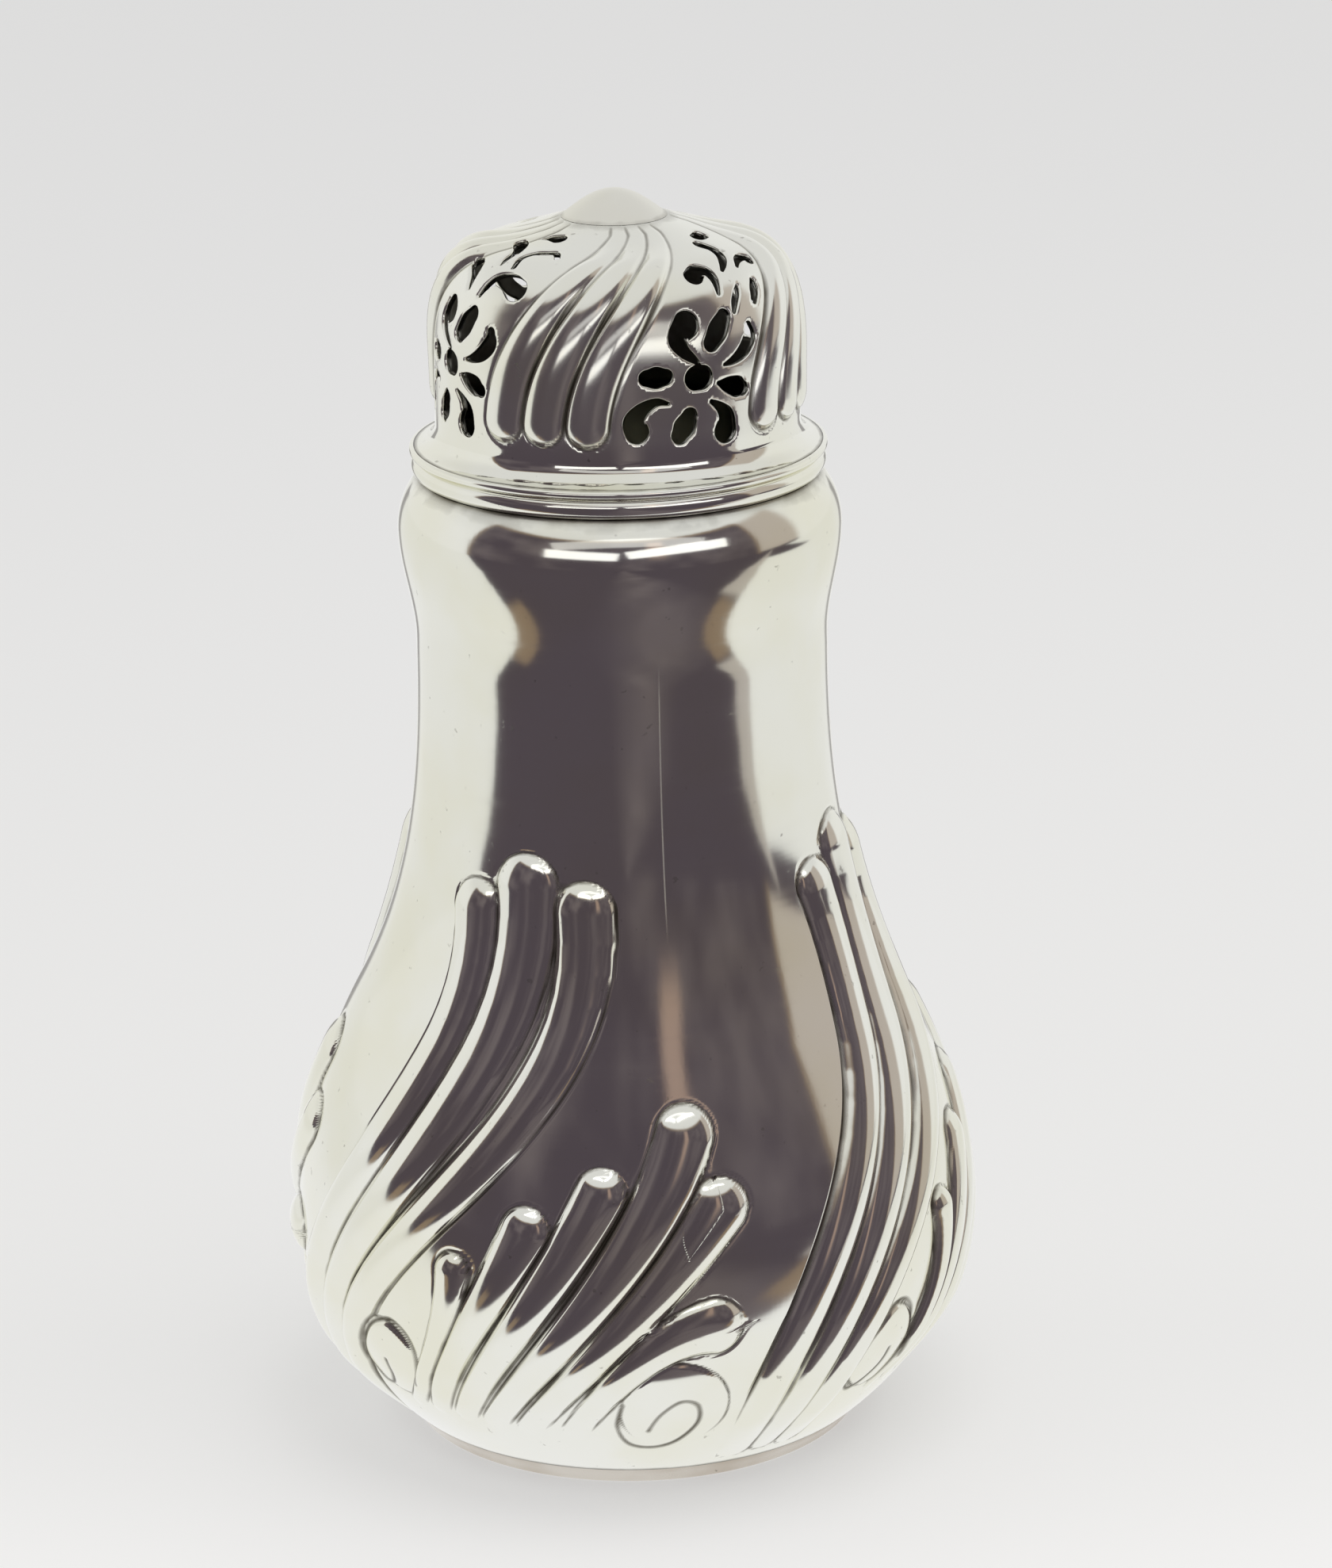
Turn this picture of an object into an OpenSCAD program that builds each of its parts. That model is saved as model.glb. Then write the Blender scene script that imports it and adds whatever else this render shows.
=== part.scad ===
// Sugar caster in silver: a pear-shaped body chased with swirling lobes, a let-in bottom on a foot ring,
// and a pierced, fluted cover that lifts off with a sleeve that slips into the neck.
// Millimetres, +Z up, origin in the middle of the foot's underside. The front faces -Y.
// Angles round the axis are in degrees from the front, positive towards +X.

/* [Body] */
// Height of the foot ring
foot_h = 1.9; // [1.2:0.1:3.5]
// Radius of the foot ring where it stands
foot_r = 23; // [21:0.1:24]
// Width of the foot ring's wire
foot_w = 2.2; // [1.4:0.1:4]
// Radius of the body's lower edge
base_r = 24.2; // [23.4:0.1:27]
// Height of the belly's widest level
belly_z = 22; // [18:0.5:26]
// Radius of the belly between its lobes
belly_r = 34.2; // [30:0.1:38]
// Height where the belly sweeps into the neck
hip_z = 46; // [42:0.5:50]
// Radius where the belly sweeps into the neck
hip_r = 27.3; // [25:0.1:29]
// Height of the waist
waist_z = 82.5; // [76:0.5:86]
// Radius of the waist
waist_r = 20.5; // [19.8:0.1:22]
// Height of the shoulder
shoulder_z = 93.5; // [92:0.5:99]
// Radius of the shoulder
shoulder_r = 22; // [21:0.1:24]
// Height of the rounded shoulder above its widest level
shoulder_h = 5.4; // [3.5:0.1:7]
// Radius of the body's upper edge
neck_r = 19.8; // [19.7:0.05:20.2]
// Thickness of the body's sheet
wall = 0.9; // [0.6:0.05:1.1]

/* [Chasing] */
// Height of the tallest lobe's tip
chase_top = 65.4; // [58:0.2:70]
// Relief of the long lobes
long_relief = 1.3; // [0.4:0.05:1.8]
// Relief of the fan of short lobes
fan_relief = 1.1; // [0.4:0.05:1.6]
// Relief of the scrolls at the foot of the fan
scroll_relief = 0.8; // [0.3:0.05:1.4]

/* [Neck and sleeve] */
// Outer radius of the sleeve that slips into the neck
sleeve_r = 18.4; // [17.6:0.05:18.6]
// Thickness of the sleeve
sleeve_wall = 0.7; // [0.5:0.05:1.2]
// Depth of the sleeve inside the neck
sleeve_depth = 8; // [4:0.5:12]
// Radial clearance of the sleeve in the collar
sleeve_fit = 0.05; // [0.02:0.01:0.1]
// Diameter of the half-round wire that makes the collar
collar_h = 2.2; // [1.6:0.1:2.2]
// Outer radius of the collar
collar_r = 20.5; // [20.4:0.1:22]

/* [Cover] */
// Outer radius of the cover's rim wire
rim_r = 20.65; // [20.4:0.05:22]
// Height of the cover's rim wire
rim_h = 0.8; // [0.5:0.05:1.2]
// Radius of the cover's upright wall between its flutes
cover_r = 18; // [17.4:0.05:18.6]
// Radius of the sweep from the wall out to the rim
flare_r = 2.2; // [1.8:0.05:2.4]
// Height of the dome above the top of the rim wire, without the finial
dome_h = 22.5; // [20:0.1:27]
// Thickness of the cover's sheet
cover_wall = 0.8; // [0.5:0.05:1]
// Relief of the flutes on the cover
flute_relief = 0.8; // [0.3:0.05:1.2]
// Radius of the finial's base
finial_r = 5.2; // [4.2:0.1:6]
// Height of the finial above the dome
finial_h = 2.6; // [1.6:0.1:4]
// Radius of the finial's peg
peg_r = 1.4; // [1:0.1:2]

/* [Hidden] */
$fn = 96;

silver = [0.84, 0.83, 0.79];
dull_silver = [0.66, 0.63, 0.56];

// The cover's ornament repeats evenly round it
sectors = 4;
sector = 360 / sectors;

// The body's chased groups were set out by eye: where each one stands, and how far it is drawn out sideways
group_turn = [-96, 0, 97, 176.5];
group_stretch = [1, 1, 1, 0.85];
groups = len(group_turn);

// Heights that follow from the sizes above
neck_z = shoulder_z + shoulder_h;
collar_z = neck_z;
seam_z = collar_z + collar_h;
dome_z = seam_z + rim_h;
dome_top = dome_z + dome_h;
plate_h = wall;
panel_rise = 0.8;
peg_clear = 0.05;
peg_head = 0.6;
plate_clear = 0.12;

// Plain interpolation helpers
function mix(a, b, t) = a + (b - a) * t;
function clamp01(t) = max(0, min(1, t));
function ramp(a, b, x) = let (t = clamp01((x - a) / (b - a))) t * t * (3 - 2 * t);
function bezier(p, t) = len(p) == 1 ? p[0] : bezier([for (i = [0 : len(p) - 2]) mix(p[i], p[i + 1], t)], t);
function find_t(p, v, lo = 0, hi = 1, steps = 14) =
    let (m = (lo + hi) / 2)
    steps == 0 ? m : bezier(p, m)[1] < v ? find_t(p, v, m, hi, steps - 1) : find_t(p, v, lo, m, steps - 1);
function guide(p, v) = bezier(p, find_t(p, v))[0];
function on_axis(angle, r, z) = [r * sin(angle), -r * cos(angle), z];

// Body profile: stations of height, radius and slope, joined by cubics, then the rounded shoulder, which
// turns inwards through an angle
base_slope = 1.15;
hip_slope = -0.52;
shoulder_turn = 45;
stations = [[foot_h, base_r, base_slope], [belly_z, belly_r, 0], [hip_z, hip_r, hip_slope],
            [waist_z, waist_r, 0], [shoulder_z, shoulder_r, 0]];
function cubic(a, b, z) =
    let (h = b[0] - a[0], t = (z - a[0]) / h)
    a[1] * (1 + 2 * t) * (1 - t) * (1 - t) + b[1] * t * t * (3 - 2 * t)
    + h * (a[2] * t * (1 - t) * (1 - t) - b[2] * t * t * (1 - t));
function span(z, i = 0) = i == len(stations) - 2 || z <= stations[i + 1][0] ? i : span(z, i + 1);
function curl_r(z) =
    let (s = (z - shoulder_z) / shoulder_h * sin(shoulder_turn))
    shoulder_r - (shoulder_r - neck_r) * (1 - sqrt(1 - s * s)) / (1 - cos(shoulder_turn));
function body_r(z) = z > shoulder_z ? curl_r(z) : cubic(stations[span(z)], stations[span(z) + 1], z);

// Chased strokes: control points of angle, height and width, drawn for tips at this height
chase_drawn = 65.4;
chase_k = chase_top / chase_drawn;
function stroke(p) = [for (q = p) [q[0], q[1] * chase_k, q[2] * chase_k]];
long_lobes = [for (p = [
    [[-76, 5, 4.2], [-73, 26, 4.4], [-32, 43, 4.6], [-41, 59.3, 5.8]],
    [[-69, 5, 3.3], [-65, 25, 4.2], [-20, 44, 6.2], [-26.5, 62, 6.8]],
    [[-62.5, 5, 3.5], [-59, 26, 4.0], [-4, 42, 5.2], [-10.8, 60, 6.2]]]) stroke(p)];
fan_lobes = [for (p = [
    [[-46, 8.6, 1.8], [-32.7, 17, 2.2], [-31.7, 25.8, 4.0]],
    [[-40, 8.8, 2.2], [-24.9, 23, 4.0], [-18.7, 30.6, 5.2]],
    [[-34, 8.8, 2.4], [-16, 23.5, 4.4], [-5.6, 34.6, 5.1]],
    [[-27.5, 8.8, 2.6], [2.7, 30, 5.4], [9.8, 39.8, 5.8]],
    [[-20.5, 8.6, 2.6], [4.3, 25.5, 4.2], [15.2, 33, 5.6]],
    [[-11.5, 8.8, 2.6], [2.2, 21, 3.6], [13, 21.2, 6.0]]]) stroke(p)];
stroke_steps = 12;
function stroke_points(p) = [for (i = [0 : stroke_steps]) bezier(p, i / stroke_steps)];

// Scrolls: a round boss on the right of the fan and a smaller one on its left
scrolls = [for (p = [
    [[6.4, 11.8, 10.4], [7.2, 12.2, 10.4]],
    [[-48.8, 13.4, 8.4], [-48, 14.2, 8.4]]]) stroke(p)];

// Relief of a stroke at a point: an elliptical section across the stroke, with round ends
function across(p, a, b, k) =
    let (from = [(a[0] - p[0]) * k, a[1] - p[1]], to = [(b[0] - p[0]) * k, b[1] - p[1]],
         u = to - from, t = clamp01(-(from * u) / (u * u)))
    norm(from + u * t) * 2 / mix(a[2], b[2], t);
function relief_of(p, points, k) =
    let (q = min([for (i = [0 : len(points) - 2]) across(p, points[i], points[i + 1], k)]))
    q < 1 ? sqrt(1 - q * q) : 0;
function relief(p, strokes, k) = max([for (s = strokes) relief_of(p, s, k)]);

// The strokes fade out above the foot between these heights
long_fade = [2.5, 11];
fan_fade = [6.5, 15];
function fade(range, z) = ramp(range[0] * chase_k, range[1] * chase_k, z);

// Columns of the chased surface: they run along the crests and creases of the lobes
fan_settle = 14 * chase_k;
left_gap = 3;
right_gap = 5;
per_lobe = 4;
columns = per_lobe * (len(long_lobes) + len(fan_lobes)) + left_gap + right_gap;
flank = 0.45;
function lobe_columns(e0, c, e1) = [e0, mix(e0, c, flank), c, mix(e1, c, flank)];
function long_angles(z) = [for (p = long_lobes) guide(p, z)];
function left_edge(a) = a[0] - (a[1] - a[0]) / 2;
function group_edges(z) =
    let (e = left_edge(long_angles(z)),
         from = [for (g = [0 : groups - 1]) group_turn[g] + group_stretch[g] * e])
    concat(from, [from[0] + 360]);
function row_angles(z, g) =
    let (a = long_angles(z), l0 = left_edge(a), l3 = a[2] + (a[2] - a[1]) / 2,
         end = (group_edges(z)[g + 1] - group_turn[g]) / group_stretch[g], field = end - l3,
         long_edge = [l0, (a[0] + a[1]) / 2, (a[1] + a[2]) / 2, l3],
         in_fan = columns - per_lobe * len(long_lobes),
         b = [for (i = [0 : len(fan_lobes) - 1])
              let (p = fan_lobes[i], tip = p[len(p) - 1][1],
                   even = l3 + field * (left_gap + per_lobe * (i + 0.5)) / in_fan)
              mix(guide(p, z), even, ramp(tip, tip + fan_settle, z))],
         last = len(b) - 1,
         b_left = max(b[0] - flank * (b[1] - b[0]), mix(l3, b[0], 0.6)),
         b_right = min(b[last] + (b[last] - b[last - 1]) / 2, mix(b[last], end, 0.5)),
         fan_edge = [b_left, for (i = [1 : last]) (b[i - 1] + b[i]) / 2, b_right])
    [for (i = [0 : 2]) each lobe_columns(long_edge[i], a[i], long_edge[i + 1]),
     for (i = [0 : left_gap - 1]) mix(l3, b_left, i / left_gap),
     for (i = [0 : last]) each lobe_columns(fan_edge[i], b[i], fan_edge[i + 1]),
     for (i = [0 : right_gap - 1]) mix(b_right, end, i / right_gap)];

// Rings of points round the axis: chased groups, plain rings at given or even angles, and repeated sectors
function placed(a, g) = group_turn[g] + group_stretch[g] * a;
function chased_ring(z, longs, fans) =
    let (r = body_r(z), k = r * PI / 180)
    [for (g = [0 : groups - 1], a = row_angles(z, g)) on_axis(placed(a, g), r + max(
        long_relief * fade(long_fade, z) * relief([a, z], longs, k),
        fan_relief * fade(fan_fade, z) * relief([a, z], fans, k),
        scroll_relief * fade(fan_fade, z) * relief([a, z], scrolls, k)), z)];
function even_angles(edges, n) =
    [for (g = [0 : groups - 1], i = [0 : n - 1]) mix(edges[g], edges[g + 1], i / n)];
function ring_at(angles, r, z) = [for (a = angles) on_axis(a, r, z)];
function plain_ring(start, n, r, z) = ring_at([for (i = [0 : n - 1]) start + i * 360 / n], r, z);
function sector_ring(angles, radii, z) =
    [for (s = [0 : sectors - 1], i = [0 : len(angles) - 1]) on_axis(angles[i] + s * sector, radii[i], z)];

// Triangles between two rings, where one may have twice the points of the other
function band(a, na, b, nb) =
    na == nb ? [for (i = [0 : na - 1]) let (j = (i + 1) % na)
        each [[a + i, b + i, b + j], [a + i, b + j, a + j]]]
    : nb == 2 * na ? [for (i = [0 : na - 1]) let (j = (i + 1) % na, k = 2 * i, m = (2 * i + 2) % nb)
        each [[a + i, b + k, b + k + 1], [a + i, b + k + 1, a + j], [a + j, b + k + 1, b + m]]]
    : [for (i = [0 : nb - 1]) let (j = (i + 1) % nb, k = 2 * i, m = (2 * i + 2) % na)
        each [[a + k, b + i, a + k + 1], [a + k + 1, b + i, b + j], [a + k + 1, b + j, a + m]]];
function starts(rings, i = 0, at = 0) =
    i == len(rings) ? [] : concat([at], starts(rings, i + 1, at + len(rings[i])));
module ringed_solid(rings) {
    first = starts(rings);
    n = len(rings);
    polyhedron(
        points = [for (r = rings) each r],
        faces = [for (i = [0 : n - 1]) let (j = (i + 1) % n)
            each band(first[i], len(rings[i]), first[j], len(rings[j]))]);
}

// Rows of the body, from the lower edge up the outside and down the inside
chase_low = 5 * chase_k;
chase_high = chase_top + 1.6 * chase_k;
chase_rows = 24;
neck_rows = 5;
curl_rows = 3;
lining_rows = 12;
half = columns / 2;
quarter = columns / 4;
module body_shell() {
    longs = [for (p = long_lobes) stroke_points(p)];
    fans = [for (p = fan_lobes) stroke_points(p)];
    low = group_edges(chase_low);
    high = group_edges(chase_high);
    high_row = [for (g = [0 : groups - 1], a = row_angles(chase_high, g)) placed(a, g)];
    high_even = even_angles(high, half);
    chased = [for (i = [0 : chase_rows])
        chased_ring(mix(chase_low, chase_high, i / chase_rows), longs, fans)];
    plain_z = [for (i = [1 : neck_rows]) mix(chase_high, shoulder_z, sin(90 * i / neck_rows)),
               for (i = [1 : curl_rows])
                   shoulder_z + shoulder_h * sin(shoulder_turn * i / curl_rows) / sin(shoulder_turn)];
    neck = [for (z = plain_z) let (t = ramp(chase_high, neck_z, z))
        ring_at([for (i = [0 : half * groups - 1]) mix(high_row[2 * i], high_even[i], t)], body_r(z), z)];
    inside_z = [for (i = [0 : lining_rows]) mix(neck_z, foot_h, i / lining_rows)];
    inside = [for (z = inside_z) ring_at(
        even_angles(mix(low, high, (z - foot_h) / (neck_z - foot_h)), quarter),
        min(body_r(z), body_r(min(z + wall, shoulder_z))) - wall, z)];
    lower_edge = ring_at(even_angles(low, half), base_r, foot_h);
    color(silver) ringed_solid(concat([lower_edge], chased, neck, inside));
}

// Bottom plate with a raised middle panel, let into the body's lower edge
foot_edges = group_edges(chase_low);
lining_step = max([for (g = [0 : groups - 1]) foot_edges[g + 1] - foot_edges[g]]) / quarter;
plate_r = (base_r - wall) * cos(lining_step / 2) - plate_clear;
panel_r = foot_r - foot_w - plate_h;
module base_disc() {
    color(dull_silver) translate([0, 0, foot_h]) rotate_extrude() polygon([
        [0, panel_rise], [panel_r - panel_rise, panel_rise], [panel_r, 0], [plate_r, 0], [plate_r, plate_h],
        [panel_r + plate_h / 2, plate_h], [panel_r + plate_h / 2 - panel_rise, panel_rise + plate_h],
        [0, panel_rise + plate_h]]);
}

// Foot wire that carries the bottom plate and the body's lower edge
module foot_ring() {
    seat_r = base_r - wall / 3;
    color(dull_silver) rotate_extrude() polygon([
        [foot_r - foot_w, foot_h], [foot_r - foot_w, foot_h * 0.15], [foot_r - foot_w * 0.8, 0],
        [foot_r - foot_w * 0.15, 0], [foot_r, foot_h * 0.12],
        [foot_r + (seat_r - foot_r) * 0.35, foot_h * 0.6], [seat_r, foot_h * 0.88], [seat_r, foot_h]]);
}

// Half-round collar wire on the neck, with the bore that the sleeve slips into
bore_r = sleeve_r + sleeve_fit;
module neck_rim() {
    bead_r = collar_h / 2;
    color(silver) translate([0, 0, collar_z]) rotate_extrude() difference() {
        union() {
            translate([bore_r - bead_r, 0]) square([collar_r - bore_r, collar_h]);
            translate([collar_r - bead_r, bead_r]) circle(bead_r);
        }
        translate([0, -collar_h]) square([bore_r, 3 * collar_h]);
    }
}

// Rim wire on the cover's lower edge, round the sleeve
module cover_rim() {
    edge_r = rim_h / 2;
    color(silver) translate([0, 0, seam_z]) rotate_extrude() union() {
        translate([sleeve_r, 0]) square([rim_r - edge_r - sleeve_r, rim_h]);
        translate([rim_r - edge_r, edge_r]) circle(edge_r);
    }
}

// Sleeve that hangs from the rim wire into the neck, with an eased lower edge
module cover_bezel() {
    ease = sleeve_wall / 2;
    color(silver) rotate_extrude() polygon([
        [sleeve_r - sleeve_wall, seam_z - sleeve_depth], [sleeve_r - ease, seam_z - sleeve_depth],
        [sleeve_r, seam_z - sleeve_depth + ease], [sleeve_r, dome_z], [sleeve_r - sleeve_wall, dome_z]]);
}

// Dome profile of radius and height: flare, upright wall, shoulder and rising top
wall_foot = [cover_r, dome_z + flare_r];
shoulder_curve = [[0.995 * cover_r, dome_z + 0.44 * dome_h], [0.985 * cover_r, dome_z + 0.71 * dome_h],
                  [0.91 * cover_r, dome_z + 0.84 * dome_h], [0.695 * cover_r, dome_z + 0.9 * dome_h]];
top_curve = [shoulder_curve[3], [0.58 * cover_r, dome_z + 0.928 * dome_h],
             [1.54 * finial_r, dome_z + 0.96 * dome_h], [finial_r, dome_top]];
flare_rows = 4;
shoulder_rows = 6;
top_rows = 3;
dome_rows = concat(
    [for (i = [0 : flare_rows]) let (a = 90 * i / flare_rows)
        wall_foot + flare_r * [1 - sin(a), -cos(a)]],
    [for (i = [0 : shoulder_rows]) bezier(shoulder_curve, i / shoulder_rows)],
    [for (i = [1 : top_rows]) bezier(top_curve, i / top_rows)]);
function reach(i) = i <= flare_rows ? norm(dome_rows[i] - wall_foot) * (i < flare_rows ? -1 : 1)
    : reach(i - 1) + norm(dome_rows[i] - dome_rows[i - 1]);
function slope_at(i) =
    let (n = len(dome_rows), d = dome_rows[min(i + 1, n - 1)] - dome_rows[max(i - 1, 0)])
    d / norm(d);

// The cover's ornament is drawn for a dome of this height
dome_drawn = 22.5;
dome_k = dome_h / dome_drawn;

// Flutes of the cover: control points of angle, distance up the profile from the wall's foot, and width
flute_step = 14.2;
flute_count = 3;
flute_line = [for (p = [[-23.7, 3.4, 4.3], [-21.5, 10, 4.3], [-8, 15, 3.4], [18, 26, 1]])
    [p[0], p[1] * dome_k, p[2] * dome_k]];
flute_fade = [16, 25] * dome_k;
field_columns = 6;
flutes = [for (i = [0 : flute_count - 1])
    [for (p = flute_line) [p[0] + (i - 1) * flute_step, p[1], p[2]]]];
function flute_angles(s) =
    let (c = guide(flute_line, s), reach_out = flute_count / 2 * flute_step,
         l0 = c - reach_out, l3 = c + reach_out)
    [for (i = [0 : flute_count - 1]) each
        lobe_columns(l0 + i * flute_step, l0 + (i + 0.5) * flute_step, l0 + (i + 1) * flute_step),
     for (i = [0 : field_columns - 1]) mix(l3, l0 + sector, i / field_columns)];
function fluted_ring(i, strokes) =
    let (s = reach(i), r = dome_rows[i][0], angles = flute_angles(s), k = r * PI / 180,
         n = slope_at(i)[1], h = flute_relief * (1 - ramp(flute_fade[0], flute_fade[1], s)))
    sector_ring(angles, [for (a = angles) r + n * h * relief([a, s], strokes, k)], dome_rows[i][1]);

// Piercings: strokes of distance across, distance up and width, each round a point given by an angle
// from the flower's middle and a distance up the profile. Two sprays take turns above the flowers.
flower_angle = 26;
flower_up = 7.7;
flower = [
    [0, [[-0.3, 0, 2.4], [0.3, 0, 2.4]]],
    [-14, [[-0.9, 0.4, 1.6], [0, 0.4, 2.1], [0.9, 0.4, 1.6]]],
    [-4, [[0.2, 5.2, 2.8], [-0.8, 4, 2], [-0.3, 2.8, 1.3], [0.7, 1.9, 0.8], [1.2, 1.5, 0.4]]],
    [8, [[-0.9, 3.2, 1.8], [0, 4.3, 2.3], [0.9, 5.4, 1.7]]],
    [17, [[-2.4, 0.9, 0.3], [-1.2, 1.2, 0.9], [0.1, 1.9, 1.5], [1.1, 3, 1.7], [1.1, 4, 1.1]]],
    [12, [[-1.6, -0.8, 0.4], [-0.6, -1.1, 1.5], [0.7, -1.5, 2], [1.4, -1.8, 1.4]]],
    [8, [[-1.2, -2.5, 0.4], [-0.2, -3.2, 1], [0.5, -4.2, 1.9], [0.4, -5.5, 2.6]]],
    [-5, [[-0.5, -5.4, 1.8], [0, -4.6, 2.3], [0.5, -3.6, 1.6]]],
    [-17, [[2.1, -2.2, 0.3], [0.9, -2, 0.8], [-0.5, -2.7, 1.4], [-1.3, -3.8, 2], [-1, -4.8, 2.3]]]];
spray_a = [
    [8, 17.3, [[-0.9, 0.5, 2], [-0.1, 1.2, 1.7], [0.8, 0.8, 1.3], [1.1, -0.3, 0.9], [0.9, -1.8, 0.4]]],
    [24, 20.6, [[0.3, 1.7, 1.6], [0.7, 0.5, 1.3], [0.3, -0.9, 1], [-0.5, -2, 0.7], [-1.2, -2.8, 0.3]]],
    [36, 23.6, [[-0.5, 0, 1.4], [0.4, 0.1, 1.6]]],
    [33, 18.4, [[-1.5, -0.6, 0.3], [-0.6, 0.1, 0.7], [0.4, 0.3, 1.1], [1, -0.2, 1.4]]],
    [28, 15, [[-0.5, -0.9, 0.9], [0, 0, 1.2], [0.4, 0.8, 0.8]]],
    [18, 14.6, [[-0.7, -1.1, 0.5], [-0.3, -0.2, 0.8], [0.3, 0.6, 0.7], [0.7, 1.2, 0.3]]]];
spray_b = [
    [19, 16.4, [[2.1, -0.1, 2.5], [0.9, 0.6, 2.1], [-0.6, 0.6, 1.4], [-1.5, -0.3, 0.8], [-2, -1.4, 0.4]]],
    [27, 20.8, [[-1.6, -2, 0.5], [-1.9, -0.4, 0.7], [-1.2, 0.7, 0.7], [0, 1.1, 0.7], [1.2, 1.3, 0.7],
                [1.8, 0.4, 0.5]]],
    [7, 21, [[-0.8, 1.5, 1.5], [0.1, 1, 1.4], [0.7, 0, 1], [0.8, -1.2, 0.7], [1, -2.2, 0.3]]],
    [0, 17.3, [[-0.9, 0.9, 1.4], [0, 0.4, 1.5], [0.7, -0.6, 1], [1.1, -1.9, 0.4]]],
    [20, 24.6, [[0.5, 0.2, 1.6], [-0.5, 0.1, 1], [-1.3, -0.3, 0.4]]]];

// Outline of a stroke: both sides of a smooth line, with a rounded end at each tip
smooth = 3;
tip_points = 4;
function catmull(p, i, t) =
    let (n = len(p) - 1, a = p[max(i - 1, 0)], b = p[i], c = p[i + 1], d = p[min(i + 2, n)])
    0.5 * (2 * b + (c - a) * t + (2 * a - 5 * b + 4 * c - d) * t * t + (3 * b - a - 3 * c + d) * t * t * t);
function smooth_line(p) =
    [for (i = [0 : len(p) - 2], j = [0 : smooth - 1]) catmull(p, i, j / smooth), p[len(p) - 1]];
function heading(p, i) = let (d = p[min(i + 1, len(p) - 1)] - p[max(i - 1, 0)]) atan2(d[1], d[0]);
function side(q, angle) = [q[0], q[1]] + q[2] / 2 * [cos(angle), sin(angle)];
function outline(stations) =
    let (p = smooth_line(stations), n = len(p) - 1)
    [for (i = [0 : n]) side(p[i], heading(p, i) - 90),
     for (j = [1 : tip_points - 1]) side(p[n], heading(p, n) - 90 + 180 * j / tip_points),
     for (i = [n : -1 : 0]) side(p[i], heading(p, i) + 90),
     for (j = [1 : tip_points - 1]) side(p[0], heading(p, 0) + 90 + 180 * j / tip_points)];

// A cutter for one piercing, square to the dome at its own place
function row_at(s, i = 1) = i == len(dome_rows) - 1 || reach(i) >= s ? i : row_at(s, i + 1);
cut_depth = 3;
module piercing(angle, up, stations) {
    s = up * dome_k;
    i = row_at(s);
    t = (s - reach(i - 1)) / (reach(i) - reach(i - 1));
    at = mix(dome_rows[i - 1], dome_rows[i], t);
    d = dome_rows[i] - dome_rows[i - 1];
    rotate([0, 0, angle]) translate([0, -at[0], at[1]]) rotate([atan2(d[1], -d[0]), 0, 0])
        translate([0, 0, -cut_depth]) linear_extrude(2 * cut_depth) polygon(outline(stations * dome_k));
}

// Pierced and fluted dome with a flat seat and a bore for the finial
module cover_dome() {
    strokes = [for (p = flutes) stroke_points(p)];
    last = len(dome_rows) - 1;
    n = (len(flutes) * per_lobe + field_columns) * sectors;
    outside = [for (i = [0 : last]) fluted_ring(i, strokes)];
    inside = [for (i = [last : -1 : 0]) let (d = slope_at(i), q = dome_rows[i] - cover_wall * [d[1], -d[0]])
        plain_ring(flute_angles(reach(i))[0], n / 2,
                   q[0], i == last ? dome_top - cover_wall : max(q[1], dome_z))];
    seat = plain_ring(0, n / 2, peg_r, dome_top);
    under = plain_ring(0, n / 2, peg_r, dome_top - cover_wall);
    color(silver) difference() {
        ringed_solid(concat(outside, [seat, under], inside));
        translate([0, 0, dome_z]) cylinder(r = peg_r + peg_clear, h = 2 * dome_h);
        for (i = [0 : sectors - 1]) {
            turn = flower_angle + (i - 1) * sector;
            for (h = flower) piercing(turn + h[0], flower_up, h[1]);
            for (h = i % 2 == 0 ? spray_b : spray_a) piercing(turn + h[0], h[1], h[2]);
        }
    }
}

// Cast finial, a low rounded cone, with a peg through the dome, spread underneath
crown = [[finial_r, 0], [0.77 * finial_r, 0.33 * finial_h], [0.42 * finial_r, finial_h], [0, finial_h]];
crown_rows = 12;
module finial() {
    color(silver) translate([0, 0, dome_top]) union() {
        rotate_extrude()
            polygon(concat([[0, 0]], [for (i = [0 : crown_rows]) bezier(crown, i / crown_rows)]));
        translate([0, 0, -cover_wall]) cylinder(r = peg_r, h = cover_wall + finial_h / 2);
        translate([0, 0, -cover_wall - peg_head]) cylinder(r = peg_r + peg_head, h = peg_head);
    }
}

body_shell();
base_disc();
foot_ring();
neck_rim();
cover_dome();
cover_rim();
cover_bezel();
finial();
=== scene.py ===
"""Sugar caster in polished silver: chased pear-shaped body, pierced and fluted lift-off cover.

Sizes of the pieces, the lamps and the camera are in millimetres, those in materials in metres. Angles are in
degrees from the front (-Y), positive towards +X.
"""
import math

import bmesh
import bpy
import numpy as np
from mathutils import Matrix, Vector, geometry


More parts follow.
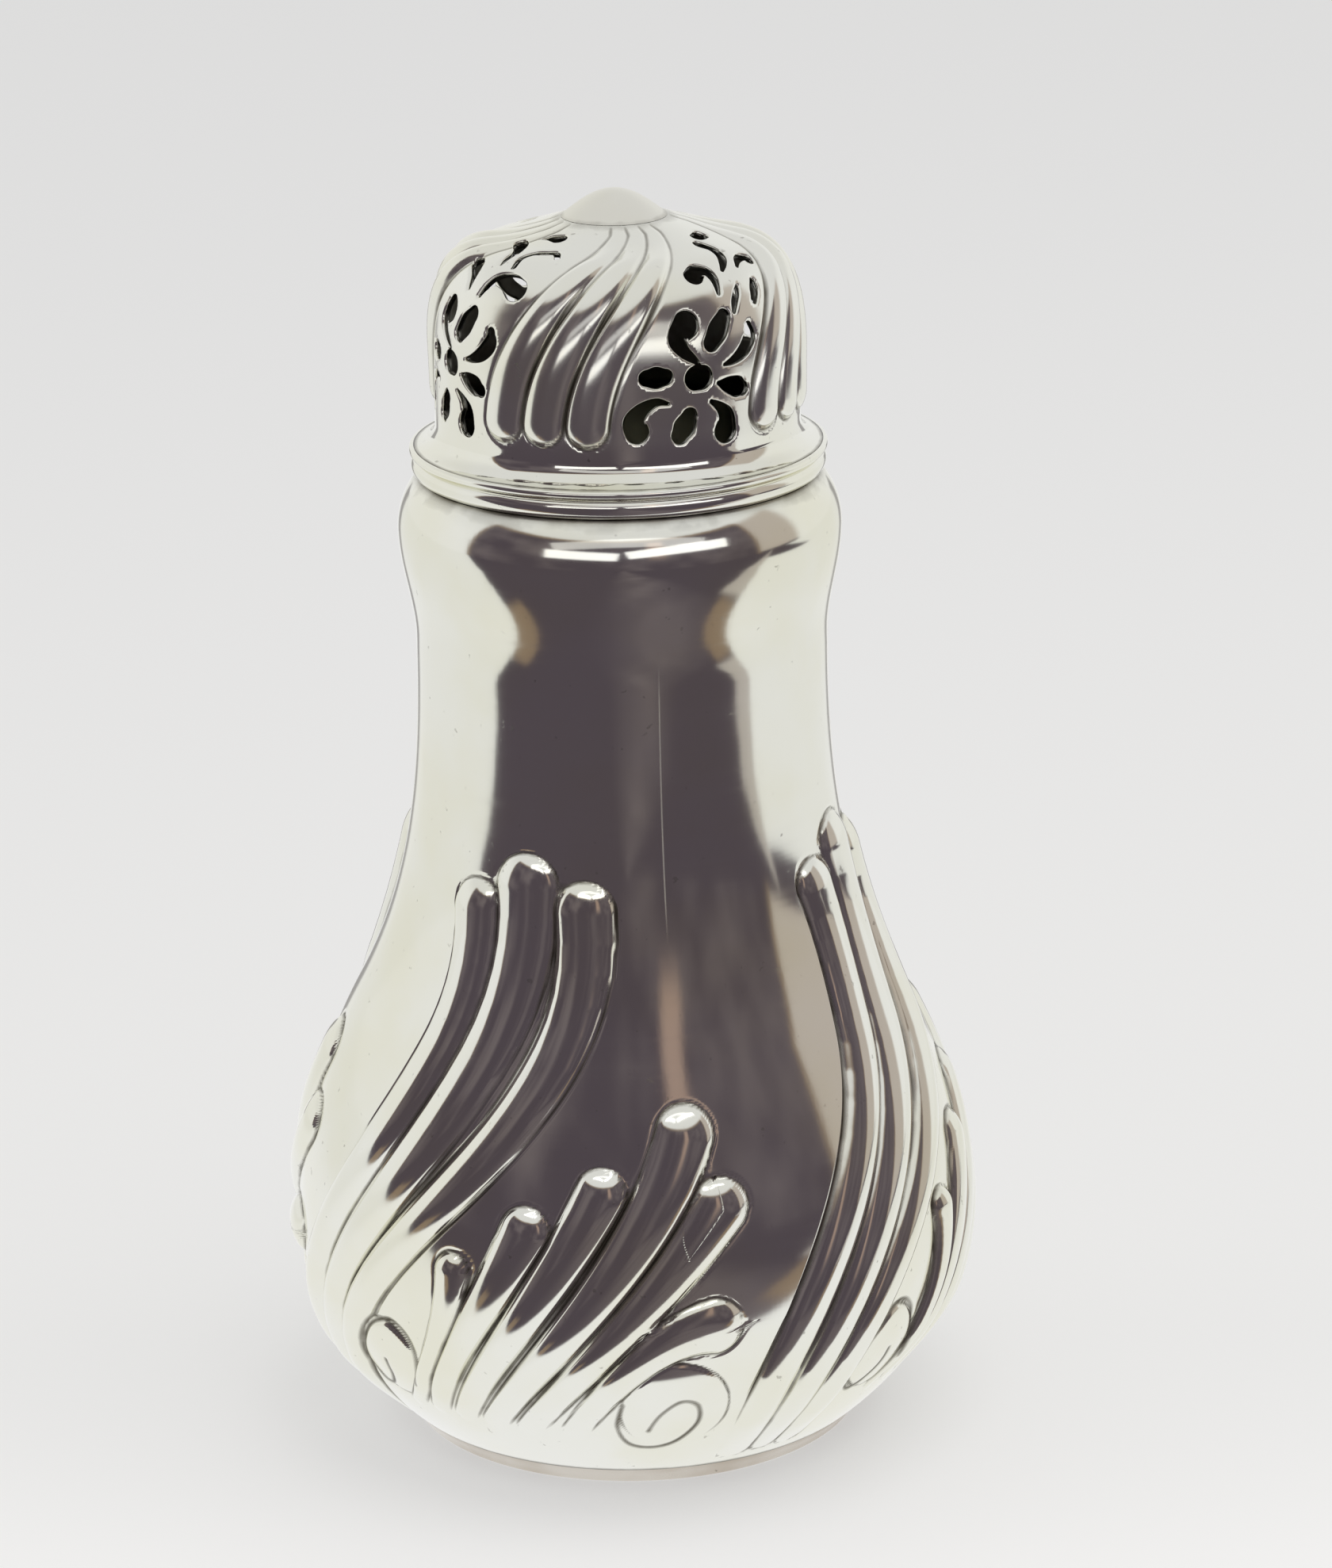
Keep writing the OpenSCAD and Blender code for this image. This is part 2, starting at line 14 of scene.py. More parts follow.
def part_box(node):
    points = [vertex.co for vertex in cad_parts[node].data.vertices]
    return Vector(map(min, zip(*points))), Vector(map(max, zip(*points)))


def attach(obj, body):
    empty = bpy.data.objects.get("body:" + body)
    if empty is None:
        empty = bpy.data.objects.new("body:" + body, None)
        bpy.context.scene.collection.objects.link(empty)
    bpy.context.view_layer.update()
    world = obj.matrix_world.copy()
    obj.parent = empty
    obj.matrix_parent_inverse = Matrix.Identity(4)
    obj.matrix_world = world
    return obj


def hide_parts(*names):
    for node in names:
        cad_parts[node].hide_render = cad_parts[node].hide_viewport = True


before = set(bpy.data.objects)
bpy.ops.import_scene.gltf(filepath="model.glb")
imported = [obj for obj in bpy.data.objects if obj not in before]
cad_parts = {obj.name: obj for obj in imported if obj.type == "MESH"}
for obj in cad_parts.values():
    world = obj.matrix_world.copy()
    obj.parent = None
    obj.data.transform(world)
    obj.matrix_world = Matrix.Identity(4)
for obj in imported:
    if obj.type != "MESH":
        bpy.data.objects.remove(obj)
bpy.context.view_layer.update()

MM = 0.001


def node_span(node):
    """Lowest and highest level of a CAD node, in millimetres."""
    low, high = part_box(node)
    return low[2] / MM, high[2] / MM


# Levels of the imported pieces
FOOT_Z, NECK_Z = node_span("body_shell")
SEAM_Z, DOME_Z = node_span("cover_rim")
FINIAL_TOP = node_span("finial")[1]
SLEEVE_LOW = node_span("cover_bezel")[0]

# Body profile: level, radius and slope at each station, joined by cubics, then a rounded shoulder
STATIONS = [(FOOT_Z, 24.2, 1.15), (22, 34.2, 0), (46, 27.3, -0.52), (82.5, 20.5, 0), (93.5, 22, 0)]
SHOULDER_Z, SHOULDER_R = STATIONS[-1][:2]
SHOULDER_TURN = math.radians(45)
NECK_R = 19.8
WALL = 0.9

# Chased groups round the body: where each one stands, and how far it is drawn out sideways
GROUP_TURN = (-96, 0, 97, 176.5)
GROUP_STRETCH = (1, 1, 1, 0.85)

# Chased strokes of a group: control points of angle, level and width
LONG_LOBES = [
    [(-76, 5, 4.2), (-73, 26, 4.4), (-32, 43, 4.6), (-41, 59.3, 5.8)],
    [(-69, 5, 3.3), (-65, 25, 4.2), (-20, 44, 6.2), (-26.5, 62, 6.8)],
    [(-62.5, 5, 3.5), (-59, 26, 4.0), (-4, 42, 5.2), (-10.8, 60, 6.2)],
]
FAN_LOBES = [
    [(-46, 8.6, 1.8), (-32.7, 17, 2.2), (-31.7, 25.8, 4.0)],
    [(-40, 8.8, 2.2), (-24.9, 23, 4.0), (-18.7, 30.6, 5.2)],
    [(-34, 8.8, 2.4), (-16, 23.5, 4.4), (-5.6, 34.6, 5.1)],
    [(-27.5, 8.8, 2.6), (2.7, 30, 5.4), (9.8, 39.8, 5.8)],
    [(-20.5, 8.6, 2.6), (4.3, 25.5, 4.2), (15.2, 33, 5.6)],
    [(-11.5, 8.8, 2.6), (2.2, 21, 3.6), (13, 21.2, 6.0)],
]
BOSSES = [
    [(6.4, 11.8, 10.4), (7.2, 12.2, 10.4)],
    [(-48.8, 13.4, 8.4), (-48, 14.2, 8.4)],
]

# Height of the strokes, and the levels between which they and the lines along them appear
LONG_RELIEF, FAN_RELIEF, BOSS_RELIEF = 1.3, 1.1, 0.8
LONG_FADE, FAN_FADE = (2.5, 11), (6.5, 15)
LONG_LINE_FADE, FAN_LINE_FADE, BOSS_LINE_FADE = (2, 4), (7.5, 10), (6, 11)
CHASE_LOW, CHASE_HIGH = 5, 67

# Lines chased into the bosses to make them scrolls: points of angle and level
SCROLL_LINES = [
    [(-2.4, 12.6), (-3.6, 9.6), (-1.8, 7.1), (2.7, 6.3), (7.6, 7.2), (11, 9.8), (10.6, 12.4), (7.6, 13.1),
     (4.2, 11.4), (2.1, 9)],
    [(-42.5, 11.5), (-41, 14.6), (-42, 17.2), (-45.5, 18.5), (-49.8, 17.6), (-53.6, 15), (-55.6, 12),
     (-54.6, 9.8), (-51.5, 9.9), (-48.8, 11.6), (-48, 13.7)],
]

# Power that gives the lobes their section, 0.5 for an ellipse and 1 for a parabola
LOBE_ROUND = 0.72

# Chased lines: half widths and depth
LINE_HALF, SCROLL_HALF, LINE_DEPTH = 0.2, 0.33, 0.15

# How far dirt reaches from a soldered seam, how far the metal darkens below the collar and round the
# finial, and how far dirt reaches up the finial
SEAM_REACH, TOP_DARK_REACH = 0.7, 2.5
FINIAL_REACH = TOP_DARK_REACH / 3

# How dark the lining, the cover's inside and the metal below the collar and round the finial are, and how
# strong the dirt at the finial's foot is, from 0 to 1
LINING_DARKENING, INSIDE_DARKENING, TOP_DARKENING, FINIAL_DIRT = 0.6, 0.9, 0.55, 0.5

# Cover: equal sectors, profile, and the finial on top
SECTORS = 4
SECTOR = 360 / SECTORS
COVER_R, FLARE_R, COVER_WALL = 18.0, 2.2, 0.8
FINIAL_R, FINIAL_H, PEG_R = 5.2, 2.6, 1.4
DOME_TOP = FINIAL_TOP - FINIAL_H
DOME_H = DOME_TOP - DOME_Z

# Control points of the dome's wall and crown: shares of a radius and of the dome's height
WALL_SHARES = [(0.995, 0.44), (0.985, 0.71), (0.91, 0.84), (0.695, 0.9)]
CROWN_SHARE, CROWN_END_SHARE = (0.58, 0.928), (1.54, 0.96)

# Flutes: control points of angle, distance up the profile and width, then their spacing and relief
FLUTE_LINE = [(-23.7, 3.4, 4.3), (-21.5, 10, 4.3), (-8, 15, 3.4), (18, 26, 1)]
FLUTE_STEP, FLUTE_RELIEF = 14.2, 0.8
FLUTE_FADE, FLUTE_LINE_FADE = (25, 16), (19, 14)

# Piercings: an angle from the flower's middle, a distance up the profile, and a stroke of across, up, width
FLOWER_ANGLE, FLOWER_UP = 26, 7.7
FLOWER = [
    (0, [(-0.3, 0, 2.4), (0.3, 0, 2.4)]),
    (-14, [(-0.9, 0.4, 1.6), (0, 0.4, 2.1), (0.9, 0.4, 1.6)]),
    (-4, [(0.2, 5.2, 2.8), (-0.8, 4, 2), (-0.3, 2.8, 1.3), (0.7, 1.9, 0.8), (1.2, 1.5, 0.4)]),
    (8, [(-0.9, 3.2, 1.8), (0, 4.3, 2.3), (0.9, 5.4, 1.7)]),
    (17, [(-2.4, 0.9, 0.3), (-1.2, 1.2, 0.9), (0.1, 1.9, 1.5), (1.1, 3, 1.7), (1.1, 4, 1.1)]),
    (12, [(-1.6, -0.8, 0.4), (-0.6, -1.1, 1.5), (0.7, -1.5, 2), (1.4, -1.8, 1.4)]),
    (8, [(-1.2, -2.5, 0.4), (-0.2, -3.2, 1), (0.5, -4.2, 1.9), (0.4, -5.5, 2.6)]),
    (-5, [(-0.5, -5.4, 1.8), (0, -4.6, 2.3), (0.5, -3.6, 1.6)]),
    (-17, [(2.1, -2.2, 0.3), (0.9, -2, 0.8), (-0.5, -2.7, 1.4), (-1.3, -3.8, 2), (-1, -4.8, 2.3)]),
]
SPRAY_A = [
    (8, 17.3, [(-0.9, 0.5, 2), (-0.1, 1.2, 1.7), (0.8, 0.8, 1.3), (1.1, -0.3, 0.9), (0.9, -1.8, 0.4)]),
    (24, 20.6, [(0.3, 1.7, 1.6), (0.7, 0.5, 1.3), (0.3, -0.9, 1), (-0.5, -2, 0.7), (-1.2, -2.8, 0.3)]),
    (36, 23.6, [(-0.5, 0, 1.4), (0.4, 0.1, 1.6)]),
    (33, 18.4, [(-1.5, -0.6, 0.3), (-0.6, 0.1, 0.7), (0.4, 0.3, 1.1), (1, -0.2, 1.4)]),
    (28, 15, [(-0.5, -0.9, 0.9), (0, 0, 1.2), (0.4, 0.8, 0.8)]),
    (18, 14.6, [(-0.7, -1.1, 0.5), (-0.3, -0.2, 0.8), (0.3, 0.6, 0.7), (0.7, 1.2, 0.3)]),
]
SPRAY_B = [
    (19, 16.4, [(2.1, -0.1, 2.5), (0.9, 0.6, 2.1), (-0.6, 0.6, 1.4), (-1.5, -0.3, 0.8), (-2, -1.4, 0.4)]),
    (27, 20.8, [(-1.6, -2, 0.5), (-1.9, -0.4, 0.7), (-1.2, 0.7, 0.7), (0, 1.1, 0.7), (1.2, 1.3, 0.7),
                (1.8, 0.4, 0.5)]),
    (7, 21, [(-0.8, 1.5, 1.5), (0.1, 1, 1.4), (0.7, 0, 1), (0.8, -1.2, 0.7), (1, -2.2, 0.3)]),
    (0, 17.3, [(-0.9, 0.9, 1.4), (0, 0.4, 1.5), (0.7, -0.6, 1), (1.1, -1.9, 0.4)]),
    (20, 24.6, [(0.5, 0.2, 1.6), (-0.5, 0.1, 1), (-1.3, -0.3, 0.4)]),
]

# Turned pieces: radii, widths and heights
SLEEVE_R, SLEEVE_WALL, SLEEVE_FIT = 18.4, 0.7, 0.05
COLLAR_R, RIM_R = 20.5, 20.65
FOOT_R, FOOT_W = 23.0, 2.2
PLATE_R, PLATE_RISE = 23.1, 0.8
PEG_HEAD = 0.6

# Foot wire's section: eased inner edge, share of its width that is flat, rolled outer edge, then the swell
# outwards with its level, the lip below the seat with its level, and the seat's height
FOOT_EASE, FOOT_FLAT, FOOT_ROLL, FOOT_ROLL_TURN = 0.3, 0.85, 0.4, (-80, -10)
SWELL_OUT, SWELL_Z, LIP_IN, LIP_Z, SEAT_H = 0.3, 0.9, 0.1, 1.45, 0.15

# Finial's section: shares of its radius and height
BUTTON_SHARES = [(1, 0), (0.77, 0.33), (0.42, 1)]


# Plain helpers

def mix(a, b, t):
    """Value from a at 0 to b at 1."""
    return a + (b - a) * t


def ramp(a, b, x):
    """Smooth step from 0 at a to 1 at b."""
    t = np.clip((np.asarray(x, float) - a) / (b - a), 0, 1)
    return t * t * (3 - 2 * t)


def bezier(points, t):
    """Points of a Bezier curve of any degree at the values t."""
    t = np.asarray(t, float)[:, None]
    p = [np.asarray(q, float)[None, :] for q in points]
    while len(p) > 1:
        p = [a * (1 - t) + b * t for a, b in zip(p, p[1:])]
    return p[0]


CURVE_STEPS = 120


def guide(points, level):
    """First coordinate of a Bezier curve where its second one is level."""
    curve = bezier(points, np.linspace(0, 1, CURVE_STEPS))
    return np.interp(level, curve[:, 1], curve[:, 0])


def smooth_line(stations, steps=6):
    """A smooth line through the stations."""
    p = np.asarray([stations[0]] + list(stations) + [stations[-1]], float)
    line = []
    for a, b, c, d in zip(p, p[1:], p[2:], p[3:]):
        for t in np.arange(steps) / steps:
            line.append(0.5 * (2 * b + (c - a) * t + (2 * a - 5 * b + 4 * c - d) * t ** 2
                               + (3 * b - a - 3 * c + d) * t ** 3))
    return np.array(line + [p[-1]])


def around(angle, radius, level):
    """Positions in metres, from an angle, a radius and a level."""
    a = np.radians(angle)
    x, y, z = np.broadcast_arrays(radius * np.sin(a), -radius * np.cos(a), np.asarray(level, float))
    return np.stack([x, y, z], -1) * MM


# Relief of chased strokes

FAR = 9.0
CREASE_OUT = (1, 1.25)


def stroke_field(angle, level, line, per_degree):
    """Distance to a stroke's line over its half width there, and that half width."""
    ratio = np.full(np.shape(angle), FAR)
    half = np.ones(np.shape(angle))
    for a, b in zip(line, line[1:]):
        ax, ay = (a[0] - angle) * per_degree, a[1] - level
        ux, uy = (b[0] - a[0]) * per_degree, b[1] - a[1]
        t = np.clip(-(ax * ux + ay * uy) / (ux * ux + uy * uy), 0, 1)
        width = mix(a[2], b[2], t)
        q = 2 * np.hypot(ax + ux * t, ay + uy * t) / width
        half = np.where(q < ratio, width / 2, half)
        ratio = np.minimum(ratio, q)
    return ratio, half


def chase(angle, level, per_degree, kinds):
    """Relief of all strokes, and a mark from 0 to 1 on the lines along their edges and creases."""
    shape = np.shape(angle)
    height, shown, half = np.zeros(shape), np.zeros(shape), np.ones(shape)
    first, second = np.full(shape, FAR), np.full(shape, FAR)
    for lines, amount, relief_fade, line_fade in kinds:
        rise = amount * ramp(*relief_fade, level)
        seen = ramp(*line_fade, level)
        for line in lines:
            q, h = stroke_field(angle, level, line, per_degree)
            height = np.maximum(height, rise * np.clip(1 - q * q, 0, 1) ** LOBE_ROUND)
            nearer = q < first
            second = np.where(nearer, first, np.minimum(second, q))
            half = np.where(nearer, h, half)
            shown = np.where(nearer, seen, shown)
            first = np.minimum(first, q)
    edge = np.exp(-((first - 1) * half / LINE_HALF) ** 2)
    crease = np.exp(-((second - first) * half / 2 / LINE_HALF) ** 2) * (1 - ramp(*CREASE_OUT, first))
    return height, shown * np.maximum(edge, crease)


def line_mark(angle, level, points, per_degree):
    """Mark from 0 to 1 on a line chased through the points."""
    line = [(*p[:2], 2 * SCROLL_HALF) for p in smooth_line(points)]
    q = stroke_field(angle, level, line, per_degree)[0]
    return np.exp(-q * q)


# Meshes

def make_object(name, vertices, faces, marks=None):
    """Smooth mesh object from positions in metres, with an optional groove mark on each vertex."""
    mesh = bpy.data.meshes.new(name)
    mesh.from_pydata(np.asarray(vertices).tolist(), [], faces)
    if marks is not None:
        layer = mesh.attributes.new("groove", "FLOAT", "POINT")
        layer.data.foreach_set("value", np.asarray(marks, np.float32))
    mesh.polygons.foreach_set("use_smooth", np.ones(len(mesh.polygons), bool))
    mesh.validate()
    obj = bpy.data.objects.new(name, mesh)
    bpy.context.scene.collection.objects.link(obj)
    return obj


def loop_faces(rows, columns):
    """Quads of a grid that closes both round the axis and from its last row to its first."""
    i = np.arange(rows)[:, None]
    j = np.arange(columns)[None, :]
    n = (i + 1) % rows
    k = (j + 1) % columns
    quads = np.stack([i * columns + j, i * columns + k, n * columns + k, n * columns + j], -1)
    return quads.reshape(-1, 4).tolist()


def harden_rows(obj, columns, rows):
    """Hard edges along some rows of a grid."""
    mesh = obj.data
    ends = np.empty(2 * len(mesh.edges), np.int32)
    mesh.edges.foreach_get("vertices", ends)
    row = ends.reshape(-1, 2) // columns
    hard = (row[:, 0] == row[:, 1]) & np.isin(row[:, 0], rows)
    mesh.edges.foreach_set("use_edge_sharp", hard)


def weld(obj, distance=2e-6):
    """Joins the points that lie on each other, and turns the faces outwards."""
    mesh = bmesh.new()
    mesh.from_mesh(obj.data)
    bmesh.ops.remove_doubles(mesh, verts=mesh.verts, dist=distance)
    bmesh.ops.recalc_face_normals(mesh, faces=mesh.faces)
    mesh.to_mesh(obj.data)
    mesh.free()


def sharpen(obj, angle=40):
    """Hard edges where faces meet at more than the angle."""
    mesh = bmesh.new()
    mesh.from_mesh(obj.data)
    for edge in mesh.edges:
        if len(edge.link_faces) == 2 and edge.calc_face_angle(0) > math.radians(angle):
            edge.smooth = False
    mesh.to_mesh(obj.data)
    mesh.free()


def fit(obj, node, body, material):
    """The object stands for a CAD node, rides on its body and takes its material."""
    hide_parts(node)
    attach(obj, body)
    obj.data.materials.append(material)
    return obj


# Body shell

def cubic(a, b, z):
    """Radius at the levels z, between two stations."""
    h = b[0] - a[0]
    t = (z - a[0]) / h
    s = 1 - t
    bend = h * (a[2] * t * s * s - b[2] * t * t * s)
    return a[1] * (1 + 2 * t) * s * s + b[1] * t * t * (3 - 2 * t) + bend


def body_radius(z):
    """Radius of the body between its lobes."""
    z = np.asarray(z, float)
    r = np.full(z.shape, SHOULDER_R)
    for a, b in zip(STATIONS, STATIONS[1:]):
        r = np.where((z >= a[0]) & (z <= b[0]), cubic(a, b, z), r)
    curl = np.clip((z - SHOULDER_Z) / (NECK_Z - SHOULDER_Z), 0, 1) * math.sin(SHOULDER_TURN)
    drop = (SHOULDER_R - NECK_R) * (1 - np.sqrt(1 - curl * curl)) / (1 - math.cos(SHOULDER_TURN))
    return np.where(z > SHOULDER_Z, SHOULDER_R - drop, r)


# Columns of the body's mesh: over a lobe, and in the gaps to the left and right of a fan
PER_LOBE, LEFT_COLUMNS, RIGHT_COLUMNS = 16, 44, 64

# Above its tips a fan's columns settle over this height, in places that leave this many columns to the left
FAN_SETTLE, SETTLED_LEFT = 14, 20

# Outer edges of a fan: how far out from its first lobe, and the most it takes of the gaps on both sides
FAN_OUT, LEFT_MOST, RIGHT_MOST = 0.45, 0.6, 0.5


def spaced(start, end, count):
    """Even steps from start towards end, without the end, for arrays of levels."""
    return [mix(start, end, i / count) for i in range(count)]


def lobe_columns(left, crest, right):
    """Columns over one lobe, closer together near its creases."""
    half = PER_LOBE // 2
    rise = [1 - math.cos(math.pi / 2 * i / half) for i in range(half)]
    return [mix(left, crest, t) for t in rise] + [mix(right, crest, t) for t in [1.0] + rise[:0:-1]]


def group_edges(z):
    """Angle where each group starts at the levels z, and where the first one starts again."""
    a, b = (guide(p, z) for p in LONG_LOBES[:2])
    edge = a - (b - a) / 2
    starts = [turn + stretch * edge for turn, stretch in zip(GROUP_TURN, GROUP_STRETCH)]
    return starts + [starts[0] + 360]


def body_columns(z, group):
    """Angles of one group's columns at each level, along crests and creases, before it is set in place."""
    a = [guide(p, z) for p in LONG_LOBES]
    left = a[0] - (a[1] - a[0]) / 2
    right = a[2] + (a[2] - a[1]) / 2
    end = (group_edges(z)[group + 1] - GROUP_TURN[group]) / GROUP_STRETCH[group]
    total = SETTLED_LEFT + PER_LOBE * len(FAN_LOBES) + RIGHT_COLUMNS
    fan = []
    for i, p in enumerate(FAN_LOBES):
        tip = p[-1][1]
        even = right + (end - right) * (SETTLED_LEFT + PER_LOBE * (i + 0.5)) / total
        fan.append(mix(guide(p, z), even, ramp(tip, tip + FAN_SETTLE, z)))
    fan_left = np.maximum(fan[0] - FAN_OUT * (fan[1] - fan[0]), mix(right, fan[0], LEFT_MOST))
    fan_right = np.minimum(fan[-1] + (fan[-1] - fan[-2]) / 2, mix(fan[-1], end, RIGHT_MOST))
    long_edges = [left, (a[0] + a[1]) / 2, (a[1] + a[2]) / 2, right]
    fan_edges = [fan_left] + [(p + q) / 2 for p, q in zip(fan, fan[1:])] + [fan_right]
    columns = []
    for edge, crest, after in zip(long_edges, a, long_edges[1:]):
        columns += lobe_columns(edge, crest, after)
    columns += spaced(right, fan_left, LEFT_COLUMNS)
    for edge, crest, after in zip(fan_edges, fan, fan_edges[1:]):
        columns += lobe_columns(edge, crest, after)
    columns += spaced(fan_right, end, RIGHT_COLUMNS)
    return np.stack(columns, 1)


# Rows of the body's mesh: spacing where it is chased and on the neck, and counts elsewhere
CHASED_ROW, NECK_ROW = 0.22, 0.8
LOW_ROWS, CURL_ROWS, LINING_ROWS = 8, 16, 24
LOBE_STEPS = 21


def body_levels():
    """Levels up the outside of the body."""
    low = np.linspace(FOOT_Z, CHASE_LOW, LOW_ROWS, endpoint=False)
    chased = np.linspace(CHASE_LOW, CHASE_HIGH, int((CHASE_HIGH - CHASE_LOW) / CHASED_ROW))
    neck = np.linspace(CHASE_HIGH, SHOULDER_Z, int((SHOULDER_Z - CHASE_HIGH) / NECK_ROW))[1:]
    turn = np.linspace(0, SHOULDER_TURN, CURL_ROWS + 1)[1:]
    curl = SHOULDER_Z + (NECK_Z - SHOULDER_Z) * np.sin(turn) / math.sin(SHOULDER_TURN)
    return np.concatenate([low, chased, neck, curl])


def chased_group(z, group):
    """Angles, radii and groove marks of one group at the levels z."""
    angle = body_columns(z, group)
    level = np.broadcast_to(z[:, None], angle.shape)
    plain = body_radius(level)
    per_degree = plain * math.pi / 180
    steps = np.linspace(0, 1, LOBE_STEPS)
    kinds = [
        ([bezier(p, steps) for p in LONG_LOBES], LONG_RELIEF, LONG_FADE, LONG_LINE_FADE),
        ([bezier(p, steps) for p in FAN_LOBES], FAN_RELIEF, FAN_FADE, FAN_LINE_FADE),
        (BOSSES, BOSS_RELIEF, FAN_FADE, BOSS_LINE_FADE),
    ]
    height, mark = chase(angle, level, per_degree, kinds)
    for points in SCROLL_LINES:
        mark = np.maximum(mark, line_mark(angle, level, points, per_degree))
    placed = GROUP_TURN[group] + GROUP_STRETCH[group] * angle
    upper = ramp(NECK_Z - SEAM_REACH, NECK_Z, level)
    lower = ramp(FOOT_Z + SEAM_REACH, FOOT_Z, level)
    # Darker just below the collar, taken together with the seam dirt
    top_dark = TOP_DARKENING * ramp(NECK_Z - TOP_DARK_REACH, NECK_Z, level)
    dirt = np.maximum(np.maximum(upper, lower), top_dark)
    return placed, plain + height - LINE_DEPTH * mark, np.maximum(mark, dirt)


def body_shell(material):
    """Chased outside of the body and its plain lining, as one closed mesh."""
    z = body_levels()
    groups = [chased_group(z, g) for g in range(len(GROUP_TURN))]
    angle, radius, mark = (np.concatenate(part, 1) for part in zip(*groups))
    lining_z = np.linspace(NECK_Z, FOOT_Z, LINING_ROWS)
    above = np.minimum(lining_z + WALL, SHOULDER_Z)
    lining_r = np.minimum(body_radius(lining_z), body_radius(above)) - WALL
    turn_down = np.linspace(0, 1, LINING_ROWS)[:, None]
    lining_angle = mix(angle[-1], angle[0], turn_down)
    level = np.concatenate([z, lining_z])[:, None]
    radius = np.concatenate([radius, np.broadcast_to(lining_r[:, None], lining_angle.shape)])
    # The lining is darkened evenly
    mark = np.concatenate([mark, np.full(lining_angle.shape, LINING_DARKENING)])
    points = around(np.concatenate([angle, lining_angle]), radius, level)
    rows, columns = points.shape[:2]
    obj = make_object("body_silver", points.reshape(-1, 3), loop_faces(rows, columns), mark.reshape(-1))
    harden_rows(obj, columns, [0, len(z) - 1, len(z), rows - 1])
    return fit(obj, "body_shell", "caster_body", material)


# Cover dome

PROFILE_STEPS = 60


def dome_point(radius, shares):
    """Control point of the dome's profile, from shares of a radius and of the dome's height."""
    return shares[0] * radius, DOME_Z + shares[1] * DOME_H


def dome_profile():
    """Distance up the profile from the wall's foot, with the radius and level there."""
    a = np.linspace(0, math.pi / 2, PROFILE_STEPS)
    flare = np.stack([COVER_R + FLARE_R * (1 - np.sin(a)), DOME_Z + FLARE_R * (1 - np.cos(a))], 1)
    wall = [dome_point(COVER_R, shares) for shares in WALL_SHARES]
    crown = [wall[-1], dome_point(COVER_R, CROWN_SHARE), dome_point(FINIAL_R, CROWN_END_SHARE),
             (FINIAL_R, DOME_TOP)]
    t = np.linspace(0, 1, PROFILE_STEPS)
    points = np.concatenate([flare, bezier(wall, t), bezier(crown, t)[1:], [(PEG_R, DOME_TOP)]])
    s = np.concatenate([[0], np.cumsum(np.hypot(*np.diff(points, axis=0).T))])
    return s - s[PROFILE_STEPS - 1], points


DOME_S, DOME_POINTS = dome_profile()
DOME_SLOPE = np.gradient(DOME_POINTS, DOME_S, axis=0)


def on_dome(angle, s, out):
    """Positions on the dome, moved out along its normal."""
    r, z = (np.interp(s, DOME_S, DOME_POINTS[:, i]) for i in (0, 1))
    dr, dz = (np.interp(s, DOME_S, DOME_SLOPE[:, i]) for i in (0, 1))
    length = np.hypot(dr, dz)
    return around(angle, r + out * dz / length, z - out * dr / length)


TIP_POINTS = 12


def outline(stations):
    """Closed outline of a stroke with round tips."""
    p = smooth_line(stations)
    d = np.gradient(p[:, :2], axis=0)
    heading = np.arctan2(d[:, 1], d[:, 0])

    def side(q, angle):
        return q[:2] + q[2] / 2 * np.array([math.cos(angle), math.sin(angle)])

    tip = [math.pi * j / TIP_POINTS for j in range(1, TIP_POINTS)]
    points = [side(q, a - math.pi / 2) for q, a in zip(p, heading)]
    points += [side(p[-1], heading[-1] - math.pi / 2 + a) for a in tip]
    points += [side(q, a + math.pi / 2) for q, a in zip(p[::-1], heading[::-1])]
    points += [side(p[0], heading[0] + math.pi / 2 + a) for a in tip]
    return np.array(points)


def hole_outlines(spray, grow):
    """Outlines of one sector's piercings as angle from the flutes' line and distance up the profile."""
    holes = [(angle, FLOWER_UP, stations) for angle, stations in FLOWER] + list(spray)
    outlines = []
    for angle, up, stations in holes:
        p = outline([(x, y, w + 2 * grow) for x, y, w in stations])
        s = up + p[:, 1]
        r = np.interp(up, DOME_S, DOME_POINTS[:, 0])
        a = FLOWER_ANGLE + angle + np.degrees(p[:, 0] / r)
        outlines.append(np.stack([a - guide(FLUTE_LINE, s), s], 1))
    return outlines


def inside(points, polygon):
    """Which points lie in a closed polygon."""
    hit = np.zeros(len(points), bool)
    for a, b in zip(polygon, np.roll(polygon, -1, 0)):
        if a[1] == b[1]:
            continue
        crosses = (a[1] > points[:, 1]) != (b[1] > points[:, 1])
        x = a[0] + (points[:, 1] - a[1]) / (b[1] - a[1]) * (b[0] - a[0])
        hit ^= crosses & (points[:, 0] < x)
    return hit


# Cover's mesh: columns on a flute and on the field between the groups, rows, and room round the piercings
FLUTE_COLUMNS, FIELD_COLUMNS = 22, 76
DOME_ROW = 0.28
CLEAR_OF_HOLE, BEVEL = 0.14, 0.13
UNROLLED = COVER_R * math.pi / 180
SAME_POINT, TOUCH = 1e-7, 1e-4


def sheet_columns():
    """Angles of a sector's columns, from one flute's crease to the same crease of the next group."""
    turns = np.sin(np.linspace(-math.pi / 2, math.pi / 2, FLUTE_COLUMNS + 1)) / 2
    flutes = [m + FLUTE_STEP * turns for m in (0, FLUTE_STEP, SECTOR - FLUTE_STEP)]
    field = np.linspace(flutes[1][-1], flutes[2][0], FIELD_COLUMNS + 1)
    return np.unique(np.round(np.concatenate(flutes + [field]), 6))


